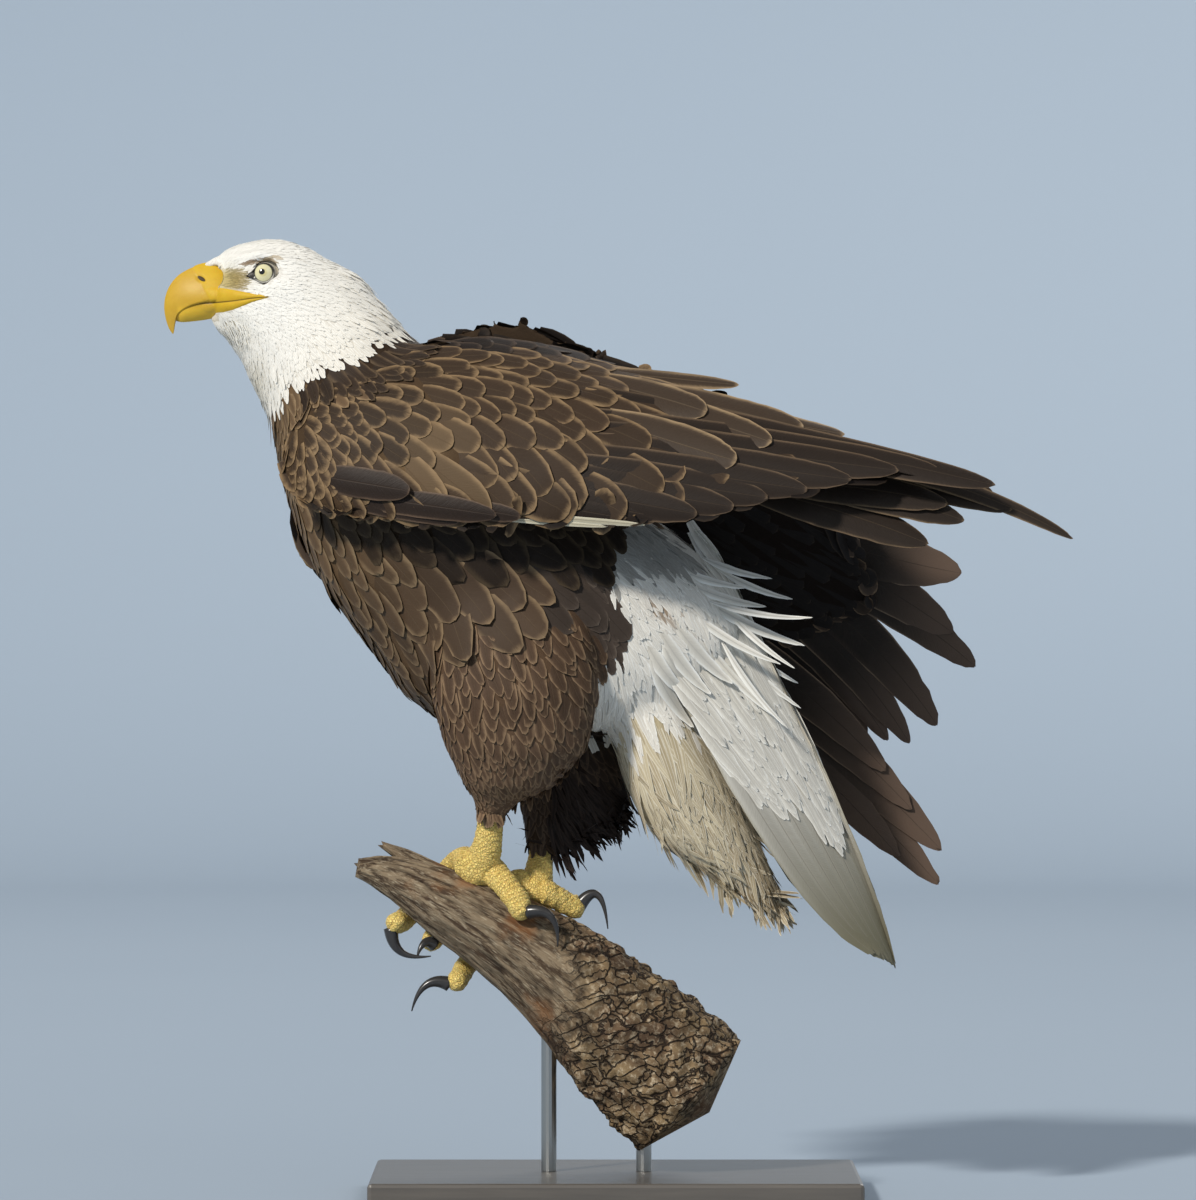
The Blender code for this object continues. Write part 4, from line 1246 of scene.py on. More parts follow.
class EAGLE_OT_body_coat(bpy.types.Operator):
    """Lays the brown feathers of the body and thighs, and the white ones of the vent"""
    bl_idname = "eagle.body_coat"
    bl_label = "Body coat"

    def execute(self, context):
        # Dull brown vanes with paler worn rims, which give the scalloped look
        brown = feather_material("brown_contour_feather", 0.0, 0.62, 0.35)
        white = bpy.data.materials["white_contour_feather"]

        def is_brown(centres, parts, normals):
            """The body's brown faces."""
            return (parts < 5) & ~is_white(centres, parts)

        def vent(centres, parts, normals):
            """The body's white faces behind the neck."""
            return (parts < 4) & (centres[:, 0] > -140) & is_white(centres, parts)

        def undertail(centres, parts, normals):
            """The undertail coverts' faces."""
            return parts == SKIN_NODES.index("undertail_coverts")

        def thighs(centres, parts, normals):
            """The faces of both thighs."""
            return np.isin(parts, [SKIN_NODES.index("thigh_left"), SKIN_NODES.index("thigh_right")])

        grow_coat("body_coat", is_brown, brown, 21, (6, 4), rounds=4)
        grow_coat("vent_coat", vent, white, 22, (7, 2), 11.0, 0.06)
        grow_coat("undertail_coat", undertail, white, 23, (8, 2), 10.0, 0.08)
        grow_coat("thigh_coat", thighs, brown, 24, (5, 2), 8.0)
        return {"FINISHED"}


def lining_in_painted_shade(vanes, rng):
    """The lining of a wing: long plain vanes lying closer than the coverts, dark brown deepened to near
    black by painted shade.
    """
    lined = vanes.root[:, 0] > -0.24
    # Painted shade: the lining's dark brown is made near black
    vanes.tone[:] = np.where(lined[:, None], shades("#1C1614"), vanes.tone)
    vanes.rim[:] = np.where(lined[:, None], shades("#33291F"), vanes.rim)
    vanes.rise *= 0.6


def far_outside_and_crest_shade(vanes, rng):
    """The outer side of the far wing: browner than its shaded parts, with painted shade along the crest.
    """
    crest = vanes.root[:, 2:3] > 0.64
    aft = vanes.root[:, 0:1] > 0.03
    spread = rng.uniform(0.85, 1.1, (len(crest), 1))
    vanes.rise[:] = np.maximum(vanes.rise, 0.06)
    vanes.start[:] = 0.3 * MM
    tone = np.where(aft, shades("#392D25"), shades("#463830"))
    rim = np.where(aft, shades("#75604A"), shades("#A08968"))
    # Painted shade along the crest, where it shows over the back
    vanes.tone[:] = spread * np.where(crest, shades("#2C231D"), tone)
    vanes.rim[:] = np.where(crest, shades("#564638"), rim)


class EAGLE_OT_wing_coats(bpy.types.Operator):
    """Lays the coverts of both wings"""
    bl_idname = "eagle.wing_coats"
    bl_label = "Wing coverts"

    def execute(self, context):
        left, right = SKIN_NODES.index("wing_left"), SKIN_NODES.index("wing_right")
        brown = bpy.data.materials["brown_contour_feather"]

        def left_side(centres, parts, normals):
            return (parts == left) & (normals[:, 1] < 0.1) & (centres[:, 0] < 60)

        def left_inside(centres, parts, normals):
            return (parts == left) & (normals[:, 1] >= 0.1)

        def right_side(centres, parts, normals):
            return (parts == right) & (normals[:, 1] + 0.5 * normals[:, 2] > 0.1)

        def right_inside(centres, parts, normals):
            return (parts == right) & (normals[:, 1] + 0.5 * normals[:, 2] <= 0.1)

        for name, wanted, seed, shape, turn, change, rounds in (
                ("left_coverts", left_side, 31, (8, 5), 4.0, None, 6),
                ("left_lining", left_inside, 33, (6, 2), 5.0, lining_in_painted_shade, 0),
                ("right_coverts", right_side, 32, (6, 4), 5.0, far_outside_and_crest_shade, 4),
                ("right_lining", right_inside, 34, (6, 2), 5.0, lining_in_painted_shade, 0)):
            grow_coat(name, wanted, brown, seed, shape, turn, change=change, trim=True,
                      rounds=rounds)
        return {"FINISHED"}


def free_vanes(rows, side_up, **values):
    """Long vanes from rows of root xyz, tip xyz, width and sag. side_up is the way that they face."""
    rows = np.array(rows, float)
    root, tip = rows[:, 0:3] * MM, rows[:, 3:6] * MM
    count = len(rows)
    long = np.linalg.norm(tip - root, axis=1)
    lie = (tip - root) / long[:, None]
    normal = np.broadcast_to(np.array(side_up, float), (count, 3))
    normal = unit(normal - lie * (normal * lie).sum(1)[:, None])
    vanes = Vanes(root, normal, lie, long, rows[:, 6] * MM)
    vanes.put(rise=0, start=0, neck=0.5, camber=0.12, fray=0.02, **values)
    vanes.sag = rows[:, 7] * MM
    stations = root[:, None] + (tip - root)[:, None] * STATION_AT[None, :, None]
    return vanes, stations, np.repeat(normal[:, None], 4, axis=1)


def draped_vanes(rows, tone, rim, surface):
    """Vanes laid over the near side of the skin.

    Rows hold root x, z, tip x, z, width and height over the skin.
    Past the skin's edge a vane carries on the way it was going.
    """
    rows = np.array(rows, float)
    count = len(rows)
    stations, lifts = np.zeros((count, 4, 3)), np.zeros((count, 4, 3))
    for i, row in enumerate(rows):
        for k, share in enumerate(STATION_AT):
            x, z = row[0:2] + (row[2:4] - row[0:2]) * share
            hit, normal, _, _ = surface.ray_cast(Vector((x, -250, z)) * MM, Vector((0, 1, 0)), 0.24)
            if hit is None and k == 0:
                place, lift = np.array([x, -14, z]) * MM, np.array([0.1, -0.95, 0.3])
            elif hit is None or (k and abs(hit.y - stations[i, k - 1, 1]) > 0.035):
                slope = stations[i, k - 1] - stations[i, k - 2] if k > 1 else np.zeros(3)
                y = stations[i, k - 1, 1] / MM + slope[1] / MM * 0.6
                place, lift = np.array([x, y, z]) * MM, lifts[i, k - 1]
            else:
                place, lift = np.array(hit), unit(np.array(normal) + np.array([0, -0.8, 0]))
            stations[i, k], lifts[i, k] = place, lift
        stations[i] += lifts[i] * ((row[5] + 1.6) * STATION_AT[:, None] ** 0.8 - 1.6) * MM
    vanes = vanes_along(stations, lifts, rows[:, 4] * MM)
    vanes.put(rise=0.01, start=0, camber=0.14, tip=6, neck=0.7, fray=0.015, tone=tone, rim=rim,
              rim_width=1.2, shaft=0.3)
    return vanes, stations, lifts


# Near wing's long feathers over the skin: root x, z, tip x, z, width, height over the skin
LEFT_TERTIALS = [
    (-10, 622, 290, 549, 30, 6.0), (-25, 606, 247, 562, 30, 5.4), (-35, 596, 216, 562, 30, 4.8),
    (-45, 587, 180, 556, 30, 4.2), (-55, 579, 146, 549, 30, 3.6), (-62, 571, 116, 543, 30, 3.0),
    (-70, 564, 90, 536, 30, 2.5), (-80, 557, 62, 531, 28, 2.0), (-90, 552, 34, 529, 26, 1.6),
    (-100, 547, 8, 528, 24, 1.2),
]
LEFT_SCAPULARS = [
    (22, 628, 143, 593, 32, 8.5), (10, 622, 119, 583, 32, 8.0), (-10, 604, 92, 569, 36, 7.5),
    (-8, 634, 69, 606, 32, 8.8), (-20, 644, 94, 627, 16, 8.0), (45, 618, 175, 588, 22, 7.0),
]
LEFT_ALULA = [
    (-125, 538, -73, 530, 15, 4.6), (-208, 547, -91, 531, 21, 5.8), (-228, 561, -157, 549, 24, 7.2),
    (-215, 543, -120, 526, 14, 2.6), (-190, 536, -105, 522, 10, 1.8),
]
PALE_PRIMARIES = [(-70, 530, 22, 524.5, 5, 5.0), (-95, 528, -6, 522.5, 4, 4.2)]
# White feathers that stream off the rump: root x, z, tip x, z, width, height
RUMP_STREAMERS = [
    (46, 484, 115, 459, 9, 6), (58, 474, 142, 429, 10, 9), (70, 466, 151, 451, 6, 5),
    (68, 458, 140, 382, 8, 7), (74, 456, 138, 401, 7, 6), (66, 500, 121, 481, 7, 4),
    (80, 490, 137, 465, 7, 4), (52, 462, 124, 415, 8, 10), (60, 448, 126, 372, 8, 8),
    (40, 494, 100, 474, 8, 5), (80, 440, 131, 366, 6, 5), (84, 462, 137, 412, 6, 4),
    (18, 444, 58, 388, 14, 7), (30, 450, 72, 394, 14, 8), (24, 432, 58, 366, 13, 7),
    (42, 454, 88, 402, 14, 8), (34, 438, 72, 380, 13, 8),
]


# Flight feathers: root x, y, z, tip x, y, z, width, sag
LEFT_PRIMARIES = [
    (195, -75, 574, 291, -70, 547, 26, 3), (190, -80, 570, 352, -76, 513, 15, 9),
    (140, -86, 558, 268, -82, 527, 30, 4), (100, -92, 552, 240, -88, 509, 34, 4),
    (150, -79, 566, 305, -75, 535, 24, 5), (120, -88, 556, 255, -84, 540, 30, 4),
]
RIGHT_SECONDARIES = [
    (120, 105, 530, 275, 112, 487, 46, -4), (120, 110, 515, 286, 115, 413, 36, 8),
    (110, 113, 500, 256, 118, 366, 37, 12), (95, 116, 490, 234, 121, 352, 31, 12),
    (80, 119, 485, 217, 124, 354, 28, 12), (68, 122, 480, 201, 127, 356, 27, 12),
    (52, 125, 475, 185, 130, 358, 27, 12), (125, 107, 525, 268, 113, 440, 40, 3),
    (40, 126, 470, 168, 130, 362, 27, 12), (28, 127, 468, 150, 130, 366, 27, 12),
]
RIGHT_PRIMARIES = [
    (10, 129, 455, 259, 112, 267, 42, 14), (-2, 132, 445, 257, 115, 240, 38, 14),
    (-16, 135, 438, 190, 120, 266, 40, 10), (4, 131, 450, 225, 114, 262, 38, 12),
    (20, 127, 462, 235, 110, 300, 36, 12), (30, 124, 466, 215, 108, 330, 34, 12),
]
TAIL = [
    (93, 468, 27, 433, 40.0), (124, 404, 66, 367, 43.0), (156, 338, 103, 301, 42.0),
    (182, 277, 139, 240, 39.0), (205, 222, 178, 203, 30.0), (218, 180, 207, 174, 15.0),
]


class EAGLE_OT_flight_feathers(bpy.types.Operator):
    """Lays the long feathers of both wings"""
    bl_idname = "eagle.flight_feathers"
    bl_label = "Flight feathers"

    def execute(self, context):
        # Stiff glossy vanes, nearly black, with worn brown rims and pale shafts
        quill = feather_material("flight_feather", 0.05, 0.5, 0.45)
        rng = np.random.default_rng(41)
        _, surface = skin_data()
        for name, rows, tone, edge, wide in (
                ("left_tertials", LEFT_TERTIALS, "#281F1A", "#6D5A46", 1.1),
                ("left_scapulars", LEFT_SCAPULARS, "#40332A", "#A58C6B", 1.7),
                ("left_alula", LEFT_ALULA, "#2A201B", "#6B5746", 0.9),
                ("left_pale_primaries", PALE_PRIMARIES, "#C9C0A4", "#DAD2BA", 0.8)):
            vanes, lines, ups = draped_vanes(rows, shades(tone), shades(edge), surface)
            vanes.put(rim_width=wide)
            lay_piece(name, vanes, lines, ups, (20, 6), rng, quill)
        vanes, lines, ups = free_vanes(LEFT_PRIMARIES, (0.1, -0.9, 0.4), tone=shades("#2B231F"),
                                       rim=shades("#7A664E"), rim_width=0.9, shaft=0.3)
        names = [f"wing_left_primary_{i}" for i in range(1, 5)]
        lay_piece("left_quills", vanes, lines, ups, (20, 6), rng, quill, names)
        # The same feathers on the far wing: near black with painted shade, and a painted sunlit brown
        # towards the tip
        wear_and_painted_light = feather_material("far_flight_feather_painted_light", 0.05, 0.55, 0.45, "#5F4E42", (0.55, 0.98))
        vanes, lines, ups = free_vanes(RIGHT_SECONDARIES + RIGHT_PRIMARIES, (-0.2, -0.95, 0.1),
                                       tone=shades("#1A1513"), rim=shades("#8A7560"), rim_width=0.8,
                                       shaft=0.1)
        names = [f"wing_right_secondary_{i}" for i in range(1, 8)]
        names += [f"wing_right_primary_{i}" for i in range(1, 4)]
        lay_piece("right_quills", vanes, lines, ups, (20, 6), rng, wear_and_painted_light, names)
        return {"FINISHED"}


def tail_place(along, across):
    """A place on the closed tail, in mm: along 0 to 1 from its root, across -1 to 1."""
    rows = eased(TAIL, 4)
    at = along * (len(rows) - 1)
    row = np.array([np.interp(at, range(len(rows)), rows[:, k]) for k in range(5)])
    ridge, drop = row[:2], row[2:4] - row[:2]
    x, z = ridge + drop * abs(across) ** 1.25
    return np.array([x, row[4] * across, z])


def tail_frame(along, across):
    """A place on the closed tail in mm, and the way out from it."""
    place = tail_place(along, across)
    wide = tail_place(along, min(across + 0.05, 1)) - tail_place(along, max(across - 0.05, -1))
    ahead = tail_place(min(along + 0.02, 1), across) - tail_place(max(along - 0.02, 0), across)
    lift = unit(np.cross(ahead, wide))
    return place, lift if lift @ np.array([0.7, 0, 0.5]) > 0 else -lift


def tail_feathers(rng):
    """The tail's twelve long feathers, six on each side."""
    white = feather_material("white_tail_feather", 0.05, 0.6, 0.4, "#79745F", (0.25, 0.95))
    shares = [0.08, 0.3, 0.5, 0.68, 0.84, 0.97]
    count = 12
    stations, lifts = np.zeros((count, 4, 3)), np.zeros((count, 4, 3))
    for i in range(count):
        across = shares[i % 6] * (-1 if i < 6 else 1)
        end = 1.0 - 0.02 * (i % 6)
        for k, share in enumerate(STATION_AT):
            at = 0.02 + (end - 0.02) * share
            place, lift = tail_frame(at, across * (1 - 0.24 * share ** 2))
            stations[i, k] = (place + lift * (-4 + (4.6 + 0.5 * (i % 6)) * min(1, share * 3))) * MM
            lifts[i, k] = lift
    vanes = vanes_along(stations, lifts, 22 * MM)
    vanes.put(rise=0, start=0, camber=0.10, tip=4, neck=0.15, tone=shades("#EDEAE0"),
              rim=shades("#A9A28E"), rim_width=1.3, shaft=0.2)
    vanes.tone *= rng.uniform(0.86, 1.0, (count, 1))
    lay_piece("tail_feathers", vanes, stations, lifts, (24, 6), rng, white, ("tail",))


def tail_coverts(rng, soft):
    """Coverts that hide the tail's root, longest along its ridge."""
    count = 340
    at, across = rng.uniform(-0.16, 0.42, count), rng.uniform(-1.04, 1.04, count)
    at = np.where(at < 0, at * 1.7, at * (1 - 0.45 * np.abs(across) ** 2))
    reach = rng.uniform(0.18, 0.27, count) * (1 - 0.25 * np.abs(across))
    stations, lifts = np.zeros((count, 4, 3)), np.zeros((count, 4, 3))
    for i in range(count):
        for k, share in enumerate(STATION_AT):
            along = at[i] + reach[i] * share
            side = across[i] * (1 - 0.12 * share)
            place, lift = tail_frame(max(along, 0.0), max(-1.0, min(1.0, side)))
            if along < 0:
                place = place + (tail_frame(0.0, side)[0] - tail_frame(0.04, side)[0]) * along / -0.04
            # The foremost coverts start under the rump's feathers
            climb = 2.0 + 1.4 * share + 3.4 * (0.42 - at[i]) - 50 * max(0.0, -0.08 - along)
            stations[i, k] = (place + lift * climb) * MM
            lifts[i, k] = lift
    vanes = vanes_along(stations, lifts, 15 * MM)
    vanes.put(rise=0, start=0, camber=0.1, tip=1.6, fray=0.1, tone=shades("#F4F0E4"),
              rim=shades("#FFFEF8"), rim_width=0.6, shaft=0.8)
    vanes.sag = rng.normal(0, 1.2 * MM, count)
    vanes.tone *= rng.uniform(0.9, 1.0, (count, 1))
    lay_piece("tail_coverts", vanes, stations, lifts, (9, 4), rng, soft)


def rump_streamers(rng, soft):
    """White feathers that stream off the rump."""
    _, surface = skin_data()
    vanes, stations, lifts = draped_vanes(RUMP_STREAMERS, shades("#F3EFE3"), shades("#FFFEF8"), surface)
    vanes.put(tip=1.9, neck=0.1, fray=0.05, camber=0.25)
    vanes.sag = -0.05 * vanes.long
    lay_piece("rump_streamers", vanes, stations, lifts, (14, 4), rng, soft)


class EAGLE_OT_tail(bpy.types.Operator):
    """Lays the white tail feathers"""
    bl_idname = "eagle.tail"
    bl_label = "Tail"

    def execute(self, context):
        rng = np.random.default_rng(51)
        soft = bpy.data.materials["white_contour_feather"]
        tail_feathers(rng)
        tail_coverts(rng, soft)
        rump_streamers(rng, soft)
        return {"FINISHED"}


def bill_ring(row, flip, sides=30):
    """Points round one section of the bill, which is widest at its lower edge or, flipped, on top."""
    x1, z1, x2, z2, half = row
    ring = []
    for k in range(sides * 2):
        turn = math.pi * (k + 0.5) / sides
        drop = (1 - math.cos(turn)) / 2
        share = (1 - drop if flip else drop) / 0.95
        if share < 1:
            width = math.sin(share * math.pi / 2) ** 0.8
        else:
            width = max(0, 1 - ((share - 1) * 19) ** 2) ** 0.5
        ring.append((x1 + (x2 - x1) * drop, (half if turn < math.pi else -half) * width,
                     z1 + (z2 - z1) * drop))
    return ring


def loft_rings(bm, rings):
    """A closed skin over rings of points in mm."""
    rows = [[bm.verts.new(Vector(p) * MM) for p in ring] for ring in rings]
    for row in rows:
        for one, two in zip(row, row[1:] + row[:1]):
            bm.edges.new((one, two))
    for pair in zip(rows, rows[1:]):
        edges = []
        for row in pair:
            edges += {e for v in row for e in v.link_edges if e.verts[0] in row and e.verts[1] in row}
        bmesh.ops.bridge_loops(bm, edges=edges)
    for row in (rows[0], rows[-1]):
        bm.faces.new(row)
    bmesh.ops.recalc_face_normals(bm, faces=bm.faces)


def bill_material(settings):
    """Smooth horn, waxy and a little translucent. The cere is duller and softer."""
    material, tree, shader = new_material("bill_horn", **{
        "Roughness": 0.5, "Specular IOR Level": 0.35, "Subsurface Weight": 0.1,
        "Subsurface Radius": (0.004, 0.002, 0.0006)})
    place = object_place(tree)
    spot = add_node(tree, "SeparateXYZ", {0: place})
    slant = times(tree, calc(tree, "SUBTRACT", spot.outputs[2], 0.700), 0.55)
    edge = calc(tree, "ADD", calc(tree, "ADD", spot.outputs[0], 0.3160), slant)
    cere = remap(tree, edge, -0.0012, 0.0012)
    streak = noise(tree, object_place(tree, (30, 260, 120)), 1.0, detail=4)
    mottle = noise(tree, place, 160.0, detail=4)
    horn = mix(tree, streak, tuple(settings.bill), linear("#D8B03C"))
    tip = remap(tree, spot.outputs[2], 0.677, 0.700, 1.0, 0.0)
    horn = mix(tree, times(tree, tip, 0.3), horn, linear("#BF9A48"))
    # Painted light: the lower mandible's shaded edge is lifted to a brighter yellow
    low = times(tree, remap(tree, spot.outputs[2], 0.690, 0.6965, 1.0, 0.0),
                remap(tree, spot.outputs[0], -0.343, -0.339))
    horn = mix(tree, times(tree, low, 0.85), horn, linear("#F2C53C"))
    skin = mix(tree, mottle, tuple(settings.cere), linear("#CDA01F"))
    colour = mix(tree, cere, horn, skin)
    # Nostril: a slanting slit on each side, painted dark as the shade inside it
    slit = vector(tree, "SUBTRACT", place, (-0.3226, 0, 0.7160))
    slit = add_node(tree, "Mapping", {"Vector": slit, "Rotation": (0, -NOSTRIL_SLANT, 0)}).outputs[0]
    slit = vector(tree, "LENGTH", vector(tree, "MULTIPLY", slit, (1 / 0.0040, 0, 1 / 0.0017)))
    slit = remap(tree, slit, 0.75, 1.05, 0.96, 0.0)
    # Painted shade along the mouth line and in the nostrils
    mouth_and_nostril_shade = calc(tree, "MAXIMUM", attribute(tree, "shade", "Fac"), slit)
    colour = mix(tree, mouth_and_nostril_shade, colour, linear("#2E1E0E"))
    dress(tree, shader, colour, calc(tree, "ADD", streak, mottle), 0.35, 0.25)
    tree.links.new(calc(tree, "MULTIPLY_ADD", cere, 0.12, 0.46), shader.inputs["Roughness"])
    return material


def bill_half(name, rows, flip, material):
    """One horny half of the bill, from its stations."""
    bm = bmesh.new()
    rows = eased(rows, 6)
    rows[:, 4] = np.maximum(rows[:, 4], 0.3)
    loft_rings(bm, [bill_ring(row, flip) for row in rows])
    mesh = mesh_of(bm, name)
    points = places_of(mesh) / MM
    normals = np.array([vert.normal for vert in mesh.vertices])
    # A pit under each nostril
    u = (points[:, 0] + 322.8) * np.cos(NOSTRIL_SLANT) - (points[:, 2] - 716) * np.sin(NOSTRIL_SLANT)
    w = (points[:, 0] + 322.8) * np.sin(NOSTRIL_SLANT) + (points[:, 2] - 716) * np.cos(NOSTRIL_SLANT)
    pit = np.exp(-((u / 4.2) ** 2 + (w / 1.9) ** 2) ** 1.5) * (np.abs(points[:, 1]) > 3)
    # The cere stands a little over the horn, with a groove between
    crease = np.interp(points[:, 2] - 700, [0, 12, 24], [-316.0, -322.6, -329.2])
    step = 1 / (1 + np.exp(-(points[:, 0] - crease) / 0.5))
    groove = np.exp(-((points[:, 0] - crease) / 0.9) ** 2)
    push = -1.5 * pit
    if name == "bill_upper":
        push = push + 0.55 * step - 0.25 * groove
    points = (points + normals * push[:, None]) * MM
    mesh.vertices.foreach_set("co", points.ravel())
    finish_piece(name + "_horn", mesh, material, (name,))


def gape_skin(material):
    """Soft yellow skin from the bill back under the eye, in an upper and a lower lip."""
    _, head = skin_data()
    horns = [BVHTree.FromObject(bpy.data.objects[name], bpy.context.evaluated_depsgraph_get())
             for name in ("bill_upper_horn", "bill_lower_horn")]
    bm = bmesh.new()
    shade = bm.verts.layers.float.new("shade")
    table = np.array(GAPE)
    for side in (-1, 1):
        for edge_column in (1, 3):
            made = bmesh.ops.create_grid(bm, x_segments=56, y_segments=12, size=1.0)["verts"]
            for vert in made:
                t, share = (vert.co.x + 1) / 2, (vert.co.y + 1) / 2
                x = -326 + 57 * t
                edge, mouth = (np.interp(x, table[:, 0], table[:, k]) for k in (edge_column, 2))
                if x < table[0, 0]:
                    mouth = np.interp(x, [-334, -323, -318], [693.0, 696.2, 697.0])
                z = mouth + (edge - mouth) * share
                hits = [tree.ray_cast(Vector((x, side * 60, z)) * MM, Vector((0, -side, 0)), 0.058)[0]
                        for tree in (head, *horns)]
                y = max((abs(hit.y) / MM for hit in hits if hit), default=10.0)
                front = min(max((x + 326) / 14, 0), 1)
                swell = 1.7 * math.sin(math.pi * min(share + 0.10, 1)) ** 0.7 * (1 - t ** 6) * front
                y += swell - 0.5 * share ** 3 - 0.5 * (1 - front)
                vert.co = Vector((x, side * y, z)) * MM
                # Painted shade along the mouth line, where the lips meet
                vert[shade] = max(0.0, 1 - share * abs(edge - mouth) / 0.7) * 0.9
    bmesh.ops.recalc_face_normals(bm, faces=bm.faces)
    finish_piece("gape_skin", mesh_of(bm, "gape"), material)


class EAGLE_OT_bill(bpy.types.Operator):
    """Makes the bill, cere and the yellow skin of the gape"""
    bl_idname = "eagle.bill"
    bl_label = "Bill"

    def execute(self, context):
        material = bill_material(context.scene.eagle_head)
        bill_half("bill_upper", UPPER_BILL, False, material)
        bill_half("bill_lower", LOWER_BILL, True, material)
        gape_skin(material)
        return {"FINISHED"}


def eyelid_material():
    """Thin dark wrinkled skin round the eye, slightly moist."""
    material, tree, shader = new_material("eyelid_skin", **{"Roughness": 0.45})
    wrinkle = noise(tree, object_place(tree), 900.0, detail=3)
    colour = mix(tree, attribute(tree, "shade", "Fac"), linear("#EDE8DC"), linear("#15110F"))
    colour = mix(tree, times(tree, wrinkle, 0.12), colour, linear("#6E6040"))
    dress(tree, shader, colour, wrinkle, 0.5, 0.3)
    return material


def eyeball_material(label, settings, centre, gaze):
    """Wet cornea over a pale streaked iris: a hard bright glint and a sharp dark pupil."""
    material, tree, shader = new_material("eyeball_" + label, **{
        "Roughness": 0.12, "Coat Weight": 1.0, "Coat Roughness": 0.02})
    place = add_node(tree, "TexCoord").outputs["Object"]
    flat = vector(tree, "CROSS_PRODUCT", vector(tree, "SUBTRACT", place, centre), gaze)
    out = vector(tree, "LENGTH", flat)
    streaks = noise(tree, vector(tree, "NORMALIZE", flat), 9.0)
    iris = mix(tree, streaks, tuple(settings.iris), linear("#DDD29A"))
    inner = remap(tree, out, 0.0022, 0.0040, 1.0, 0.0)
    iris = mix(tree, times(tree, inner, 0.45), iris, linear("#C9B96C"))
    ring = settings.iris_radius
    colour = mix(tree, remap(tree, out, ring - 0.0011, ring - 0.0001), iris, linear("#14110F"))
    # Beyond the lids the ball carries on as dull down-covered skin
    downy = remap(tree, out, ring + 0.0012, ring + 0.0016)
    colour = mix(tree, downy, colour, linear("#E9E4D8"))
    rough = remap(tree, out, ring + 0.0012, ring + 0.0016, 0.12, 0.9)
    tree.links.new(rough, shader.inputs["Roughness"])
    tree.links.new(calc(tree, "SUBTRACT", 1.0, downy), shader.inputs["Coat Weight"])
    pupil = vector(tree, "SUBTRACT", place, centre + Vector((-0.0010, 0, 0.0006)))
    pupil = vector(tree, "LENGTH", vector(tree, "CROSS_PRODUCT", pupil, gaze))
    colour = mix(tree, remap(tree, pupil, 0.0021, 0.0025, 1.0, 0.0), colour, (0.004, 0.004, 0.004))
    tree.links.new(colour, shader.inputs["Base Color"])
    return material


def eyeball(label, settings, centre, gaze, turn):
    """The ball of one eye."""
    material = eyeball_material(label, settings, centre, gaze)
    bm = bmesh.new()
    bmesh.ops.create_uvsphere(bm, u_segments=48, v_segments=32, radius=settings.eye_radius)
    # Outside the lids the ball falls away steeply, so the feathers come right up to them
    for vert in bm.verts:
        beyond = vert.co.xy.length - settings.iris_radius - 0.7 * MM
        if beyond > 0 and vert.co.z > 0:
            vert.co.z -= 3 * beyond
    bmesh.ops.rotate(bm, verts=bm.verts, matrix=turn, cent=(0, 0, 0))
    bmesh.ops.translate(bm, verts=bm.verts, vec=centre)
    finish_piece("eyeball_" + label, mesh_of(bm, "eyeball"), material, ("eye_" + label,))


def eyelids(label, side, lid, centre, seat, turn):
    """The ring of lids round one eye, and the flesh in its front corner."""
    bm = bmesh.new()
    shade = bm.verts.layers.float.new("shade")
    ring = bmesh.ops.create_circle(bm, segments=10, radius=LID_THICK * MM)["verts"]
    upright = Vector((0, 1, 0)).to_track_quat("Z", "Y").to_matrix()
    bmesh.ops.rotate(bm, verts=ring, matrix=upright, cent=(0, 0, 0))
    bmesh.ops.translate(bm, verts=ring, vec=Vector((LID_REACH, 0, LID_AHEAD)) * MM)
    bmesh.ops.spin(bm, geom=ring + list({e for v in ring for e in v.link_edges}), cent=(0, 0, 0),
                   axis=(0, 0, 1), angle=2 * math.pi, steps=56, use_merge=True)
    bmesh.ops.scale(bm, verts=bm.verts, vec=(1.04, 0.93, 1.0))
    bmesh.ops.recalc_face_normals(bm, faces=bm.faces)
    bmesh.ops.rotate(bm, verts=bm.verts, matrix=turn, cent=(0, 0, 0))
    bmesh.ops.translate(bm, verts=bm.verts, vec=seat)
    for vert in bm.verts:
        # Dark, paler along the lower lid, with the front corner drawn down to a point
        ahead = max(0.0, -vert.co.x / MM / 10)
        near = min(ahead, 1)
        vert[shade] = min(1.0, max(0.35, 0.85 + vert.co.z / MM / 8) + near ** 3)
        vert.co.x *= 1 + 0.34 * ahead ** 4
        vert.co.z = vert.co.z * (1 - 0.45 * near ** 4) - 2.2 * MM * near ** 4
    # Dark flesh fills the front corner
    corner = bmesh.ops.create_icosphere(bm, subdivisions=3, radius=MM)["verts"]
    bmesh.ops.scale(bm, verts=corner, vec=(4.3, 2.3, 2.9))
    bmesh.ops.translate(bm, verts=corner, vec=Vector((-9.7, side * 6.2, -1.8)) * MM)
    for vert in corner:
        vert[shade] = 0.95
    bmesh.ops.translate(bm, verts=bm.verts, vec=centre - seat)
    finish_piece("eyelids_" + label, mesh_of(bm, "eyelids"), lid)


class EAGLE_OT_eyes(bpy.types.Operator):
    """Makes the eyeballs and their lids"""
    bl_idname = "eagle.eyes"
    bl_label = "Eyes"

    def execute(self, context):
        lid = eyelid_material()
        for label, side in (("left", -1), ("right", 1)):
            gaze = Vector((-0.07, side * 0.98, 0.13)).normalized()
            turn = gaze.to_track_quat("Z", "Y").to_matrix()
            seat = Vector((-0.9, 0, -1.1)) * MM
            centre = Vector((EYE_X, side * EYE_Y, EYE_Z)) * MM + seat
            eyeball(label, context.scene.eagle_head, centre, gaze, turn)
            eyelids(label, side, lid, centre, seat, turn)
        return {"FINISHED"}


def stub_at(x):
    """Axis height and radius of the stub at x, in mm."""
    rows = np.array(STUB, float)
    return np.interp(x, rows[:, 0], rows[:, 1]), np.interp(x, rows[:, 0], rows[:, 2])


